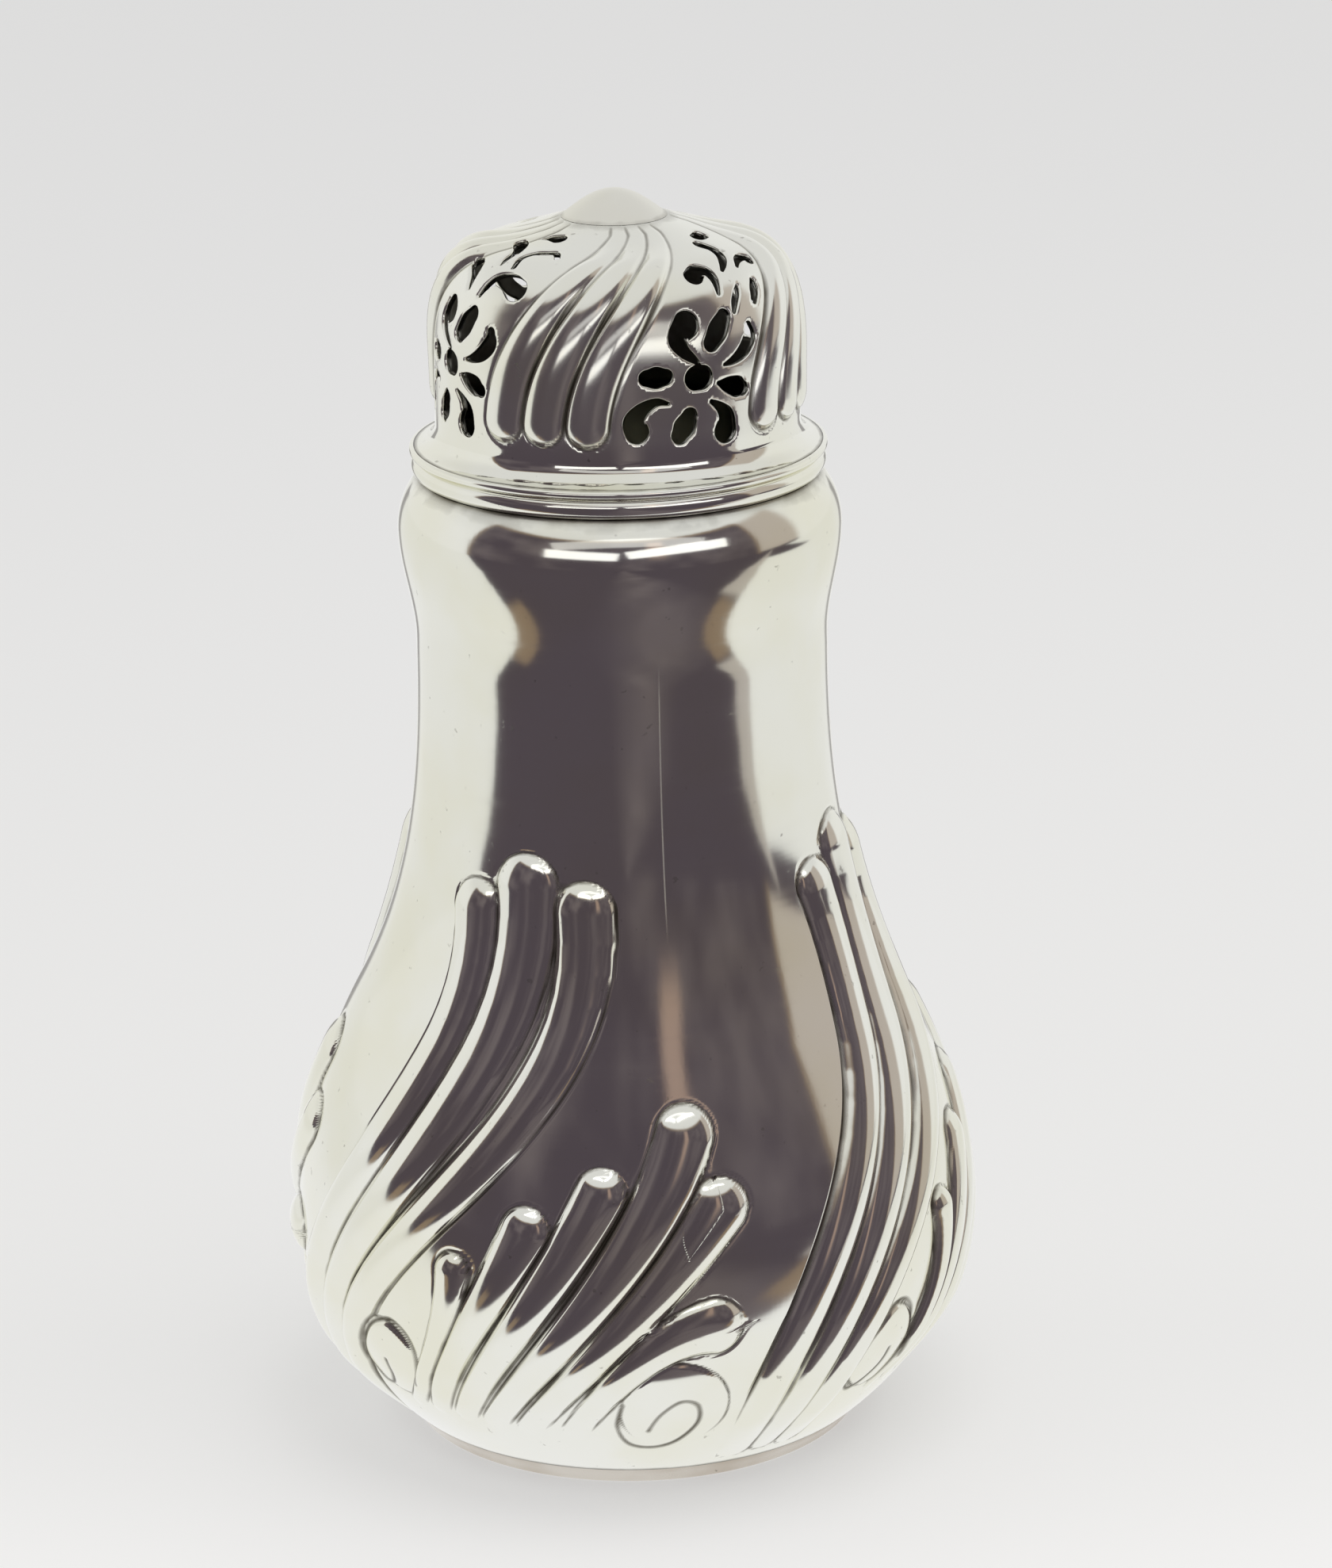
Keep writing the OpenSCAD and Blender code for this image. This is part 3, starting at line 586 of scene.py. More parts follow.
def pierced_sheet(spray):
    """One sector of the pierced sheet, unrolled: its points, where their lips lie, and its triangles."""
    rows = np.linspace(DOME_S[0], DOME_S[-1], int((DOME_S[-1] - DOME_S[0]) / DOME_ROW))
    grid = np.stack(np.meshgrid(sheet_columns() * UNROLLED, rows), -1).reshape(-1, 2)
    scale = (UNROLLED, 1)
    holes = [h * scale for h in hole_outlines(spray, BEVEL)]
    keep = np.ones(len(grid), bool)
    for h in holes:
        keep &= ~inside(grid, h)
        d = np.min(np.hypot(grid[:, None, 0] - h[None, :, 0], grid[:, None, 1] - h[None, :, 1]), 1)
        keep &= d > CLEAR_OF_HOLE
    flat = np.concatenate([grid[keep]] + holes)
    lips = np.concatenate([grid[keep]] + [h * scale for h in hole_outlines(spray, 0)])
    edges = []
    first = int(keep.sum())
    for h in holes:
        edges += [(first + i, first + (i + 1) % len(h)) for i in range(len(h))]
        first += len(h)
    out = geometry.delaunay_2d_cdt([Vector(p) for p in flat], edges, [], 0, SAME_POINT)
    sheet = np.array([tuple(v) for v in out[0]])
    lips = np.array([lips[source[0]] if source else p for source, p in zip(out[3], sheet)])
    triangles = np.array(out[2])
    middle = sheet[triangles].mean(1)
    drop = np.zeros(len(triangles), bool)
    for h in holes:
        drop |= inside(middle, h)
    return sheet / scale, lips / scale, triangles[~drop]


def rim_edges(triangles):
    """Directed edges that only one triangle has."""
    pairs = np.concatenate([triangles[:, [0, 1]], triangles[:, [1, 2]], triangles[:, [2, 0]]])
    have = set(map(tuple, pairs.tolist()))
    return [(a, b) for a, b in have if (b, a) not in have]


# Creases between the flutes: where they lie, where they start and end, half width, and fainter near the top
CREASES = [m * FLUTE_STEP for m in (-0.5, 0.5, 1.5)] + [SECTOR - m * FLUTE_STEP for m in (1.5, 0.5)]
CREASE_FADE, CREASE_END, CREASE_HALF = (4, 7), 0.5, 0.27
FAINT_TOP, TOP_FADE = 0.75, (13, 18)
FLUTE_STEPS = 40


def dome_sector(spray):
    """Outer points of a sector at angle 0, with their lips, groove marks and triangles."""
    sheet, lips, triangles = pierced_sheet(spray)
    u, s = sheet.T
    angle = u + guide(FLUTE_LINE, s)
    per_degree = np.interp(s, DOME_S, DOME_POINTS[:, 0]) * math.pi / 180
    line = bezier(FLUTE_LINE, np.linspace(0, 1, FLUTE_STEPS))
    flutes = [line + (shift, 0, 0) for shift in (0, FLUTE_STEP, SECTOR - FLUTE_STEP, -FLUTE_STEP)]
    height, mark = chase(angle, s, per_degree, [(flutes, FLUTE_RELIEF, FLUTE_FADE, FLUTE_LINE_FADE)])
    last = DOME_S[-2]
    for crease in CREASES:
        on_line = np.exp(-((u - crease) * per_degree / CREASE_HALF) ** 2)
        mark = np.maximum(mark, on_line * ramp(*CREASE_FADE, s) * ramp(last, last - CREASE_END, s))
    mark = mark * mix(1, FAINT_TOP, ramp(*TOP_FADE, s))
    seam = ramp(DOME_S[0] + SEAM_REACH, DOME_S[0], s)
    # Darker near the top of the dome, round the finial
    top_dark = TOP_DARKENING * ramp(last - TOP_DARK_REACH, last, s)
    return {
        "u": u, "s": s, "angle": angle,
        "out": height - LINE_DEPTH * mark,
        "mark": np.maximum(mark, np.maximum(seam, top_dark)),
        "triangles": triangles,
        "rims": rim_edges(triangles),
        "lip_s": lips[:, 1],
        "lip_angle": lips[:, 0] + guide(FLUTE_LINE, lips[:, 1]),
    }


def on_seam(sector, ends):
    """Whether a rim edge lies where two sectors join."""
    sides = (-FLUTE_STEP / 2, SECTOR - FLUTE_STEP / 2)
    return any(all(abs(sector["u"][k] - side) < TOUCH for k in ends) for side in sides)


def on_border(sector, ends):
    """Whether a rim edge lies on the dome's lower or upper end."""
    return any(all(abs(sector["s"][k] - end) < TOUCH for k in ends) for end in (DOME_S[0], DOME_S[-1]))


def cover_dome(material):
    """Pierced and fluted cover: outside, inside, and the bevelled walls of the piercings."""
    points, faces, marks = [], [], []
    count = 0
    sectors = [dome_sector(SPRAY_B), dome_sector(SPRAY_A)]
    for i in range(SECTORS):
        d = sectors[i % 2]
        turn = (i - 1) * SECTOR
        n = len(d["s"])
        outer = on_dome(d["angle"] + turn, d["s"], d["out"])
        inner = on_dome(d["angle"] + turn, d["s"], -COVER_WALL)
        inner[:, 2] = np.maximum(inner[:, 2], DOME_Z * MM)
        hole_edges = [e for e in d["rims"] if not on_seam(d, e) and not on_border(d, e)]
        lip_ids = sorted({k for edge in hole_edges for k in edge})
        lip = {k: count + 2 * n + j for j, k in enumerate(lip_ids)}
        lips = on_dome(d["lip_angle"][lip_ids] + turn, d["lip_s"][lip_ids], d["out"][lip_ids] - BEVEL)
        points += [outer, inner, lips]
        # The cover's inside is darkened evenly
        marks += [d["mark"], np.full(n, INSIDE_DARKENING), np.zeros(len(lip_ids))]
        up = d["triangles"] + count
        faces += up.tolist()
        faces += (up[:, ::-1] + n).tolist()
        for a, b in d["rims"]:
            if on_border(d, (a, b)):
                faces.append([b + count, a + count, a + n + count, b + n + count])
        for a, b in hole_edges:
            faces.append([b + count, a + count, lip[a], lip[b]])
            faces.append([lip[b], lip[a], a + n + count, b + n + count])
        count += 2 * n + len(lip_ids)
    obj = make_object("cover_silver", np.concatenate(points), faces, np.concatenate(marks))
    weld(obj)
    return fit(obj, "cover_dome", "cover", material)


# Turned pieces

LATHE_COLUMNS = 384
COLLAR_STEPS, RIM_STEPS, EASE_STEPS, BUTTON_STEPS = 28, 16, 8, 30
AXIS_R = 0.001


def arc(middle, radius, start, end, steps):
    """Points of an arc in the plane of radius and level."""
    a = np.radians(np.linspace(start, end, steps))
    return [(middle[0] + radius * math.cos(t), middle[1] + radius * math.sin(t)) for t in a]


def lathe(name, node, body, material, profile, marks=None):
    """Closed profile of radius and level turned round the axis, with an optional mark on each point."""
    p = np.array(profile)
    angle = np.arange(LATHE_COLUMNS) * 360 / LATHE_COLUMNS
    points = around(angle[None, :], p[:, :1], p[:, 1:])
    if marks is not None:
        marks = np.repeat(marks, LATHE_COLUMNS)
    obj = make_object(name, points.reshape(-1, 3), loop_faces(len(p), LATHE_COLUMNS), marks)
    weld(obj)
    sharpen(obj)
    return fit(obj, node, body, material)


def collar(material):
    """Half-round wire on the neck."""
    half = (SEAM_Z - NECK_Z) / 2
    bore = SLEEVE_R + SLEEVE_FIT
    bead = arc((COLLAR_R - half, NECK_Z + half), half, -90, 90, COLLAR_STEPS)
    section = [(bore, NECK_Z)] + bead + [(bore, SEAM_Z)]
    lathe("collar_silver", "neck_rim", "caster_body", material, section)


def rim(material):
    """Thin wire round the cover's lower edge."""
    half = (DOME_Z - SEAM_Z) / 2
    bead = arc((RIM_R - half, SEAM_Z + half), half, -90, 90, RIM_STEPS)
    section = [(SLEEVE_R, SEAM_Z)] + bead + [(SLEEVE_R, DOME_Z)]
    lathe("rim_silver", "cover_rim", "cover", material, section)


def sleeve(material):
    """Sleeve that slips into the neck, with an eased lower edge."""
    bore = SLEEVE_R - SLEEVE_WALL
    ease = SLEEVE_WALL / 2
    eased = arc((SLEEVE_R - ease, SLEEVE_LOW + ease), ease, -90, 0, EASE_STEPS)
    section = [(bore, SLEEVE_LOW)] + eased + [(SLEEVE_R, DOME_Z), (bore, DOME_Z)]
    lathe("sleeve_silver", "cover_bezel", "cover", material, section)


def foot(material):
    """Low wire foot, flat underneath and rolled at its outer edge."""
    bore = FOOT_R - FOOT_W
    seat = STATIONS[0][1] - WALL / 3
    roll = FOOT_R - FOOT_ROLL
    section = [(bore, FOOT_Z), (bore, FOOT_EASE), (FOOT_R - FOOT_FLAT * FOOT_W, 0), (roll, 0)]
    section += arc((roll, FOOT_ROLL), FOOT_ROLL, *FOOT_ROLL_TURN, EASE_STEPS)
    section += [(FOOT_R + SWELL_OUT, SWELL_Z), (seat - LIP_IN, LIP_Z)]
    section += [(seat, FOOT_Z - SEAT_H), (seat, FOOT_Z)]
    lathe("foot_silver", "foot_ring", "caster_body", material, section)


def bottom_plate(material):
    """Bottom plate with a raised middle."""
    panel_r = FOOT_R - FOOT_W - WALL
    upper_r = panel_r + WALL / 2
    raised = FOOT_Z + PLATE_RISE
    under = [(AXIS_R, raised), (panel_r - PLATE_RISE, raised), (panel_r, FOOT_Z), (PLATE_R, FOOT_Z)]
    upper = [(PLATE_R, FOOT_Z + WALL), (upper_r, FOOT_Z + WALL)]
    upper += [(upper_r - PLATE_RISE, raised + WALL), (AXIS_R, raised + WALL)]
    lathe("bottom_silver", "base_disc", "caster_body", material, under + upper)


def finial(material):
    """Low button on top, with a peg through the dome and a head under it."""
    crown = [(r * FINIAL_R, h * FINIAL_H) for r, h in BUTTON_SHARES] + [(AXIS_R, FINIAL_H)]
    button = [(r, DOME_TOP + h) for r, h in bezier(crown, np.linspace(0, 1, BUTTON_STEPS))]
    peg_end = DOME_TOP - COVER_WALL
    head_r, head_end = PEG_R + PEG_HEAD, peg_end - PEG_HEAD
    peg = [(AXIS_R, head_end), (head_r, head_end), (head_r, peg_end), (PEG_R, peg_end), (PEG_R, DOME_TOP)]
    dirt = [1] * len(peg) + [FINIAL_DIRT * ramp(FINIAL_REACH, 0, h - DOME_TOP) for r, h in button]
    lathe("finial_silver", "finial", "cover", material, peg + button, dirt)


# Materials

class Nodes:
    """Short form for building a shader tree."""

    def __init__(self, tree):
        self.tree = tree

    def add(self, kind, **values):
        """New node with some of its properties set."""
        node = self.tree.nodes.new(kind)
        for key, value in values.items():
            setattr(node, key, value)
        return node

    def link(self, output, target):
        """Links an output to a socket."""
        self.tree.links.new(output, target)

    def noise(self, coordinates, scale, detail=3.0, roughness=0.5, stretch=(1, 1, 1)):
        """Noise from 0 to 1."""
        mapping = self.add("ShaderNodeMapping")
        mapping.inputs["Scale"].default_value = stretch
        self.link(coordinates, mapping.inputs["Vector"])
        node = self.add("ShaderNodeTexNoise")
        node.inputs["Scale"].default_value = scale
        node.inputs["Detail"].default_value = detail
        node.inputs["Roughness"].default_value = roughness
        self.link(mapping.outputs["Vector"], node.inputs["Vector"])
        return node.outputs["Fac"]

    def steps(self, value, low, high, out_low=0.0, out_high=1.0):
        """Smooth step from one value to another while the input goes from low to high."""
        node = self.add("ShaderNodeMapRange", clamp=True)
        node.interpolation_type = "SMOOTHSTEP"
        names = ("From Min", "From Max", "To Min", "To Max")
        for key, number in zip(names, (low, high, out_low, out_high)):
            node.inputs[key].default_value = number
        self.link(value, node.inputs["Value"])
        return node.outputs["Result"]

    def put(self, value, socket):
        """Sets a socket to a number or a colour, or links an output to it."""
        if isinstance(value, (int, float)):
            socket.default_value = value
        elif isinstance(value, tuple):
            socket.default_value = (*value, 1)
        else:
            self.link(value, socket)

    def math(self, operation, *values):
        """Result of a sum, product or the like."""
        node = self.add("ShaderNodeMath", operation=operation)
        for value, socket in zip(values, node.inputs):
            self.put(value, socket)
        return node.outputs[0]

    def both(self, a, b):
        """Product of two masks."""
        return self.math("MULTIPLY", a, b)

    def tone(self, factor, a, b):
        """Colour from a to b."""
        node = self.add("ShaderNodeMix", data_type="RGBA")
        for value, index in zip((factor, a, b), (0, 6, 7)):
            self.put(value, node.inputs[index])
        return node.outputs[2]

    def axes(self, coordinates):
        """The three coordinates by themselves."""
        node = self.add("ShaderNodeSeparateXYZ")
        self.link(coordinates, node.inputs[0])
        return node.outputs


# Clean and yellowed colour of each metal, and the colour of dirt on it
BRIGHT = ((0.885, 0.885, 0.83), (0.85, 0.84, 0.72))
MATTE = ((0.84, 0.83, 0.77), (0.8, 0.78, 0.66))
DULL = ((0.66, 0.62, 0.56), (0.42, 0.35, 0.27))
TARNISH = (0.085, 0.07, 0.045)

# Yellowed clouds, specks of dirt, and patches they lie in: scale of the noise, and the part of it that shows
CLOUD_SCALE, CLOUD_SHOWN = 60, (0.35, 0.75)
SPECK_SCALE, SPECK_SHOWN = 1100, (0.68, 0.76)
PATCH_SCALE, PATCH_SHOWN, SPECKED = 260, (0.3, 0.65), (0.5, 1)

# Dirt in the chased lines: its strength, and what the patches take from it
GROOVE_DIRT, GROOVE_LOSS = 1.3, (-0.55, -0.35)

# Roughness added by haze, wear, dirt and the long scratch, and the share left where the flare is polished
HAZE_SCALE, HAZE_SHOWN, HAZE_ROUGH = 30, (0.3, 0.8), 0.05
WEAR_SCALE, WEAR_STRETCH, WEAR_SHOWN, WEAR_ROUGH = 900, (0.05, 0.05, 1), (0.5, 0.8), 0.025
DIRT_ROUGH, SCRATCH_ROUGH, POLISHED = 0.35, 0.6, 0.4

# Bump: fine upright and level scratches, shallow dents, share of the scratches in it, strength and height
UPRIGHT_SCALE, UPRIGHT_STRETCH = 700, (1, 1, 0.04)
LEVEL_SCALE, LEVEL_STRETCH = 500, (0.06, 0.06, 1)
FINE_ROUGHNESS = 0.6
DENT_SCALE, SCRATCH_SHARE = 90, 0.05
BUMP_STRENGTH, BUMP_HEIGHT = 0.25, 0.0003

# Long scratch on the neck: sideways slope from the axis, half width, the levels it runs between, and its ends
SCRATCH_SLOPE, SCRATCH_HALF = 0.171, 0.00013
SCRATCH_LOW, SCRATCH_HIGH, SCRATCH_FADE = 0.056, 0.086, 0.006
FRONT_ONLY = (0, -0.001)


def long_scratch(n, where):
    """Mask of one upright scratch down the front of the neck."""
    x, y, z = n.axes(where)
    off = n.math("ABSOLUTE", n.math("ADD", x, n.math("MULTIPLY", y, SCRATCH_SLOPE)))
    line = n.steps(off, SCRATCH_HALF, 0)
    start = n.steps(z, SCRATCH_LOW, SCRATCH_LOW + SCRATCH_FADE)
    end = n.steps(z, SCRATCH_HIGH, SCRATCH_HIGH - SCRATCH_FADE)
    return n.both(n.both(line, n.steps(y, *FRONT_ONLY)), n.both(start, end))


def silver_material(name, clean, yellowed, shine, dirt, grooves=False, scratch=False, polished=None):
    """Polished silver, yellowed in clouds, with dirt in the chased lines and fine wear scratches."""
    material = bpy.data.materials.new(name)
    material.use_nodes = True
    tree = material.node_tree
    shader = tree.nodes["Principled BSDF"]
    n = Nodes(tree)
    where = n.add("ShaderNodeTexCoord").outputs["Object"]
    cloud = n.steps(n.noise(where, CLOUD_SCALE, detail=4), *CLOUD_SHOWN)
    speck = n.steps(n.noise(where, SPECK_SCALE, detail=2), *SPECK_SHOWN)
    patch = n.steps(n.noise(where, PATCH_SCALE, detail=3), *PATCH_SHOWN)
    grime = n.math("MULTIPLY", n.both(speck, n.steps(patch, *SPECKED)), dirt)
    if grooves:
        mark = n.add("ShaderNodeAttribute", attribute_name="groove").outputs["Fac"]
        loss = n.steps(patch, 0, 1, *GROOVE_LOSS)
        patchy = n.math("ADD", n.math("MULTIPLY", mark, GROOVE_DIRT), loss)
        grime = n.math("MAXIMUM", grime, patchy)
    color = n.tone(grime, n.tone(cloud, clean, yellowed), TARNISH)
    n.link(color, shader.inputs["Base Color"])
    haze = n.steps(n.noise(where, HAZE_SCALE, detail=5), *HAZE_SHOWN, shine, shine + HAZE_ROUGH)
    streaks = n.noise(where, WEAR_SCALE, 2, FINE_ROUGHNESS, WEAR_STRETCH)
    wear = n.steps(streaks, *WEAR_SHOWN, 0, WEAR_ROUGH)
    rough = n.math("ADD", n.math("ADD", haze, wear), n.math("MULTIPLY", grime, DIRT_ROUGH))
    if scratch:
        rough = n.math("ADD", rough, n.math("MULTIPLY", long_scratch(n, where), SCRATCH_ROUGH))
    if polished:
        rough = n.math("MULTIPLY", rough, n.steps(n.axes(where)[2], *polished, POLISHED, 1))
    n.link(rough, shader.inputs["Roughness"])
    upright = n.noise(where, UPRIGHT_SCALE, 2, FINE_ROUGHNESS, UPRIGHT_STRETCH)
    level = n.noise(where, LEVEL_SCALE, 2, FINE_ROUGHNESS, LEVEL_STRETCH)
    dents = n.noise(where, DENT_SCALE, detail=1)
    height = n.math("ADD", n.math("MULTIPLY", n.math("ADD", upright, level), SCRATCH_SHARE), dents)
    bump = n.add("ShaderNodeBump")
    bump.inputs["Strength"].default_value = BUMP_STRENGTH
    bump.inputs["Distance"].default_value = BUMP_HEIGHT
    n.link(height, bump.inputs["Height"])
    n.link(bump.outputs["Normal"], shader.inputs["Normal"])
    shader.inputs["Metallic"].default_value = 1.0
    return material


# Surroundings, which mostly show as reflections in the silver

PALE, CEILING = (0.86, 0.86, 0.85), (0.76, 0.76, 0.755)
DARK_ROOM, LIT_ROOM = (0.08, 0.064, 0.078), (0.16, 0.134, 0.143)
BROWN, ROSE, WARM = (0.26, 0.19, 0.135), (0.48, 0.44, 0.415), (0.36, 0.26, 0.22)
BUFF = (0.5, 0.445, 0.405)
SHEET, SHEET_FAR = (0.9, 0.9, 0.9), (0.83, 0.83, 0.81)

# Dark table that the silver reflects in front of the sheet: its slanting edge and how soft that is, the
# lighter part with its clouds, the brown fringe along the edge, and a rose strip on the right
SHEET_FRONT, SHEET_SLANT, EDGE_SOFT = -0.060, 0.1, (-0.002, 0.003)
LIGHTER_X, LIGHTER_HALF = 0.05, 0.1
TABLE_SCALE, TABLE_SHOWN, TABLE_CLOUD = 9, (0.3, 0.7), (0.4, 1)
FRINGE, FRINGE_SLANT, FRINGE_SOFT = 0.010, 0.2, (1, 0.7)
FRINGE_IN, FRINGE_OUT = (0.05, 0.075), (0.16, 0.13)
ROSE_EDGE, ROSE_FROM = (0.050, 0.043), (0.14, 0.17)

# Sheet that the silver reflects: duller to the sides, a darker strip on both sides at the back, as a slope
# from the axis, and an end on the right
SHEET_DULLER = (0.04, 0.2)
GAP_IN, GAP_OUT, GAP_FROM = (0.33, 0.36), (0.5, 0.47), (0.10, 0.15)
GAP_TONE = (0.36, 0.35, 0.35)
RIGHT_END, RIGHT_BACK = (0.62, 0.68), (0.3, 0.2)

# Sheet itself, with painted light that falls off away from the camera: tones towards the camera, round the
# caster and far behind it, where they change, and the share of them that glows by itself as painted light
NEAR_SHEET, MID_SHEET, FAR_SHEET = (0.985, 0.981, 0.972), (0.866, 0.864, 0.857), (0.838, 0.838, 0.836)
NEAR_TO_MID, MID_TO_FAR = (-0.08, 0.02), (0, 0.6)
SHEET_PAINTED_GLOW = 0.55


def reflected_floor(n, where):
    """Colour of the floor in reflections: a pale sheet that ends on a dark table in front."""
    x, y = n.axes(where)[:2]
    aside = n.math("ABSOLUTE", x)
    front = n.math("SUBTRACT", SHEET_FRONT, n.math("ADD", y, n.math("MULTIPLY", aside, SHEET_SLANT)))
    cloudy = n.steps(n.noise(where, TABLE_SCALE, detail=3), *TABLE_SHOWN, *TABLE_CLOUD)
    off = n.math("ABSOLUTE", n.math("SUBTRACT", x, LIGHTER_X))
    table = n.tone(n.both(n.steps(off, LIGHTER_HALF, 0), cloudy), DARK_ROOM, LIT_ROOM)
    table = n.tone(n.both(n.steps(front, *ROSE_EDGE), n.steps(x, *ROSE_FROM)), table, ROSE)
    share = n.math("DIVIDE", front, n.math("ADD", n.math("MULTIPLY", aside, FRINGE_SLANT), FRINGE))
    fringe = n.both(n.steps(aside, *FRINGE_IN), n.steps(aside, *FRINGE_OUT))
    table = n.tone(n.both(fringe, n.steps(share, *FRINGE_SOFT)), table, BROWN)
    sheet = n.tone(n.steps(aside, *SHEET_DULLER), SHEET, SHEET_FAR)
    back = n.math("DIVIDE", aside, y)
    gap = n.both(n.steps(back, *GAP_IN), n.steps(back, *GAP_OUT))
    sheet = n.tone(n.both(gap, n.steps(y, *GAP_FROM)), sheet, GAP_TONE)
    sheet = n.tone(n.both(n.steps(x, *RIGHT_END), n.steps(y, *RIGHT_BACK)), sheet, DARK_ROOM)
    return n.tone(n.steps(front, *EDGE_SOFT), sheet, table)


def floor_material():
    """Pale sheet with painted light, on a dark table; only reflections see where the sheet ends."""
    material = bpy.data.materials.new("pale_sheet")
    material.use_nodes = True
    tree = material.node_tree
    tree.nodes.clear()
    n = Nodes(tree)
    where = n.add("ShaderNodeTexCoord").outputs["Object"]
    seen = n.add("ShaderNodeEmission")
    n.link(reflected_floor(n, where), seen.inputs["Color"])
    paper = n.add("ShaderNodeBsdfDiffuse")
    glow = n.add("ShaderNodeEmission")
    y = n.axes(where)[1]
    # Painted light: the sheet is brighter towards the camera and darker far behind the caster
    behind = n.tone(n.steps(y, *MID_TO_FAR), MID_SHEET, FAR_SHEET)
    painted_falloff = n.tone(n.steps(y, *NEAR_TO_MID), NEAR_SHEET, behind)
    n.link(painted_falloff, paper.inputs["Color"])
    n.link(painted_falloff, glow.inputs["Color"])
    # Painted light: part of the sheet's tone glows by itself, without a lamp
    soft = n.add("ShaderNodeMixShader")
    soft.inputs[0].default_value = SHEET_PAINTED_GLOW
    n.link(paper.outputs[0], soft.inputs[1])
    n.link(glow.outputs[0], soft.inputs[2])
    split = n.add("ShaderNodeMixShader")
    n.link(n.add("ShaderNodeLightPath").outputs["Is Glossy Ray"], split.inputs[0])
    n.link(soft.outputs[0], split.inputs[1])
    n.link(seen.outputs[0], split.inputs[2])
    n.link(split.outputs[0], n.add("ShaderNodeOutputMaterial").inputs["Surface"])
    return material


FLOOR_HALF = 4000


def floor():
    """Wide floor under the caster."""
    h = FLOOR_HALF * MM
    mesh = bpy.data.meshes.new("floor")
    mesh.from_pydata([(-h, -h, 0), (h, -h, 0), (h, h, 0), (-h, h, 0)], [], [(0, 1, 2, 3)])
    mesh.materials.append(floor_material())
    obj = bpy.data.objects.new("floor", mesh)
    bpy.context.scene.collection.objects.link(obj)


# Where the dark room ends: towards the sides as a cosine, and upwards as a sine
ROOM_SIDE, ROOM_SKEW, ROOM_TOP, ROOM_SOFT = -0.19, 0.075, 0.64, 0.05

# Clouds in the dark room, the brown and the dark part of its edge, and where the white turns to the ceiling
ROOM_SCALE, ROOM_SHOWN = 2.2, (0.42, 0.75)
BROWN_PART, DARK_PART = (0, 0.3), (0.25, 0.9)
CEILING_RISE = (0.3, 0.7)

# Warm streak in the dark room: place to the side, half width, lower end and upper end
STREAK_SIDE, STREAK_HALF, STREAK_RISE, STREAK_TOP = 0.33, (0.11, 0.04), (0.15, 0.4), (0.64, 0.58)

# Buff wall on the right, between the dark room and the white: its two sides, upper end and dark foot
BUFF_FROM, BUFF_SIDE, BUFF_TOP, BUFF_FOOT = (0.3, 0.4), (0.36, 0.26), (0.68, 0.6), (-0.01, 0.015)


def room():
    """World: a dark room in front, white elsewhere, and one pale tone for the camera."""
    world = bpy.data.worlds.new("room")
    bpy.context.scene.world = world
    world.use_nodes = True
    n = Nodes(world.node_tree)
    way = n.add("ShaderNodeTexCoord").outputs["Generated"]
    x, y, z = n.axes(way)
    across = n.math("SQRT", n.math("ADD", n.math("MULTIPLY", x, x), n.math("MULTIPLY", y, y)))
    sine = n.math("DIVIDE", x, across)
    side = n.math("ADD", n.math("DIVIDE", y, across), n.math("MULTIPLY", sine, ROOM_SKEW))
    ahead = n.steps(side, ROOM_SIDE + ROOM_SOFT, ROOM_SIDE - ROOM_SOFT)
    below = n.steps(z, ROOM_TOP + ROOM_SOFT, ROOM_TOP - ROOM_SOFT)
    dark = n.both(ahead, below)
    front = n.tone(n.steps(n.noise(way, ROOM_SCALE, detail=3), *ROOM_SHOWN), DARK_ROOM, LIT_ROOM)
    off = n.math("ABSOLUTE", n.math("SUBTRACT", sine, STREAK_SIDE))
    tall = n.both(n.steps(z, *STREAK_RISE), n.steps(z, *STREAK_TOP))
    front = n.tone(n.both(n.steps(off, *STREAK_HALF), tall), front, WARM)
    white = n.tone(n.steps(z, *CEILING_RISE), PALE, CEILING)
    wall = n.both(n.steps(side, *BUFF_SIDE), n.steps(sine, *BUFF_FROM))
    wall = n.both(wall, n.steps(z, *BUFF_TOP))
    white = n.tone(wall, white, n.tone(n.steps(z, *BUFF_FOOT), DARK_ROOM, BUFF))
    edge = n.tone(n.steps(dark, *BROWN_PART), white, BROWN)
    lit = n.tone(n.steps(dark, *DARK_PART), edge, front)
    seen = n.tone(n.add("ShaderNodeLightPath").outputs["Is Camera Ray"], lit, PALE)
    n.link(seen, world.node_tree.nodes["Background"].inputs["Color"])


# Lamps in front of the shoulder: place, width, height and radiance
SHOULDER_LAMPS = {
    "left_lamp": ((-22.5, -71.5, 115.5), 45, 12, 1.15),
    "right_lamp": ((30, -64.5, 119), 64, 12, 1.15),
    "high_lamp": ((4, -65, 132), 98, 13, 0.5),
}

# Window above, a little to the right and in front
WINDOW_PLACE, WINDOW_SIZE, WINDOW_GLOW = (200, -120, 900), (600, 600), 2.04


def softbox(name, place, aim, size, glow):
    """Rectangular lamp of a given radiance, aimed at a point, in millimetres."""
    light = bpy.data.lights.new(name, "AREA")
    light.shape = "RECTANGLE"
    light.size, light.size_y = (s * MM for s in size)
    light.energy = glow * math.pi * light.size * light.size_y
    obj = bpy.data.objects.new(name, light)
    obj.location = Vector(place) * MM
    obj.rotation_euler = (Vector(aim) - Vector(place)).to_track_quat("-Z", "Y").to_euler()
    obj.visible_camera = False
    bpy.context.scene.collection.objects.link(obj)
    return obj


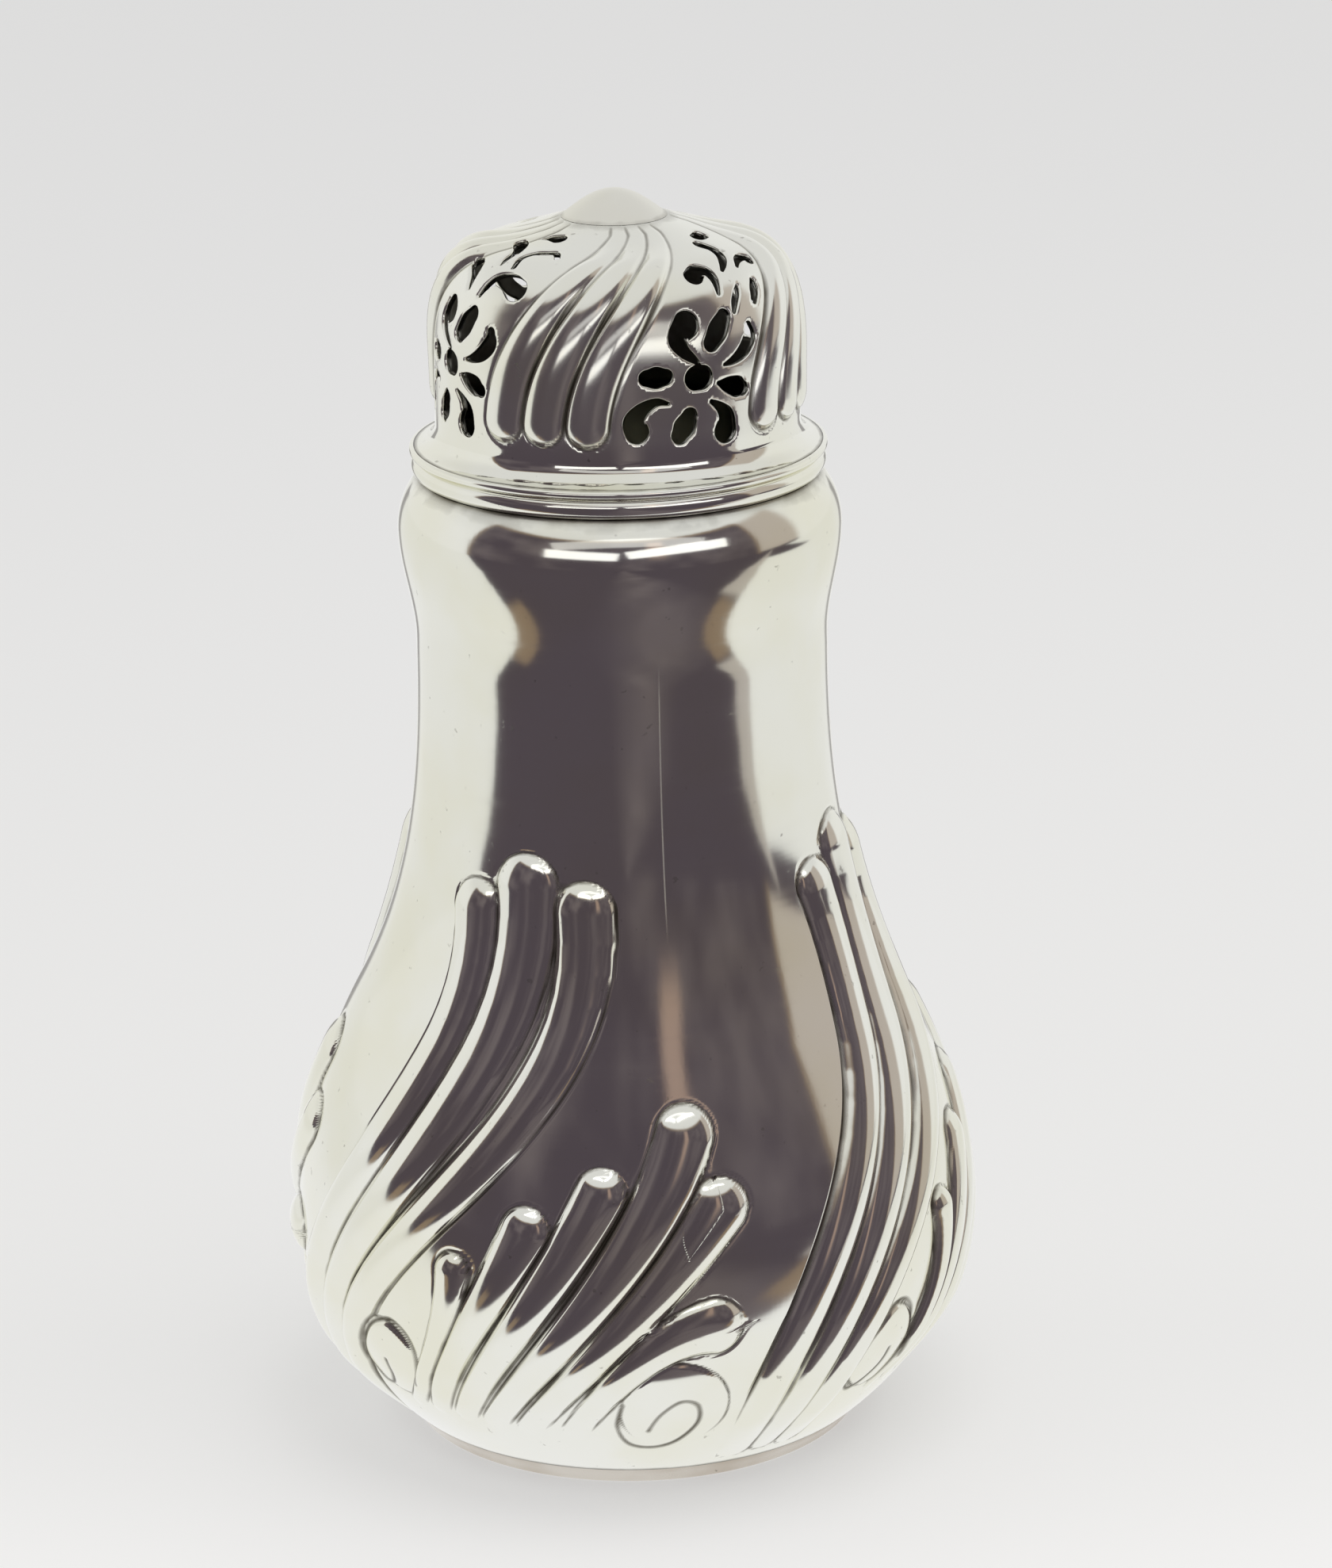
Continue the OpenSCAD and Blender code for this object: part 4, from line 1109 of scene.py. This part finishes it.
def lamps():
    """Lamps that only the silver shows, and a window above that casts the shadow."""
    shoulder = (0, -SHOULDER_R, SHOULDER_Z)
    for name, (place, width, height, glow) in SHOULDER_LAMPS.items():
        softbox(name, place, shoulder, (width, height), glow).visible_diffuse = False
    softbox("window", WINDOW_PLACE, (0, 0, 0), WINDOW_SIZE, WINDOW_GLOW).visible_glossy = False


# Camera of the photograph: distance and elevation from a point on the axis, that point's level, and turns
CAMERA_DISTANCE, CAMERA_ELEVATION, CAMERA_TARGET = 559.7, 18.467, 60
CAMERA_PAN, CAMERA_TILT, CAMERA_ROLL = 0.425, 0.590, -1.091
FOCAL_PIXELS, PICTURE_WIDTH = 7000, 1680
SENSOR_WIDTH, CLIP_START = 36, 0.01


def turn(a, b, degrees):
    """Two square directions turned in their own plane, a towards b."""
    t = math.radians(degrees)
    return a * math.cos(t) + b * math.sin(t), b * math.cos(t) - a * math.sin(t)


def camera():
    """Camera at the photograph's viewing angle."""
    e = math.radians(CAMERA_ELEVATION)
    forward = Vector((0, math.cos(e), -math.sin(e)))
    right = Vector((1, 0, 0))
    up = right.cross(forward)
    place = Vector((0, 0, CAMERA_TARGET)) - forward * CAMERA_DISTANCE
    forward, right = turn(forward, right, CAMERA_PAN)
    forward, up = turn(forward, up, CAMERA_TILT)
    right, up = turn(right, up, CAMERA_ROLL)
    data = bpy.data.cameras.new("camera")
    data.sensor_fit = "HORIZONTAL"
    data.sensor_width = SENSOR_WIDTH
    data.lens = FOCAL_PIXELS / PICTURE_WIDTH * data.sensor_width
    data.clip_start = CLIP_START
    obj = bpy.data.objects.new("camera", data)
    obj.matrix_world = Matrix.Translation(place * MM) @ Matrix((right, up, -forward)).transposed().to_4x4()
    bpy.context.scene.collection.objects.link(obj)
    bpy.context.scene.camera = obj


def main():
    """Makes the pieces and the scene round them."""
    flare = (DOME_Z + FLARE_R) * MM, (DOME_Z + 2 * FLARE_R) * MM
    silver = silver_material("body_metal", *BRIGHT, shine=0.09, dirt=0.35, grooves=True, scratch=True)
    cover = silver_material("cover_metal", *BRIGHT, shine=0.15, dirt=0.5, grooves=True, polished=flare)
    plain = silver_material("rim_metal", *BRIGHT, shine=0.08, dirt=0.5)
    matte = silver_material("finial_metal", *MATTE, shine=0.34, dirt=0.6, grooves=True)
    dull = silver_material("foot_metal", *DULL, shine=0.24, dirt=0.9)
    body_shell(silver)
    cover_dome(cover)
    collar(plain)
    rim(plain)
    sleeve(plain)
    foot(dull)
    bottom_plate(dull)
    finial(matte)
    floor()
    room()
    lamps()
    camera()
    bpy.context.scene.view_settings.view_transform = "Standard"


main()
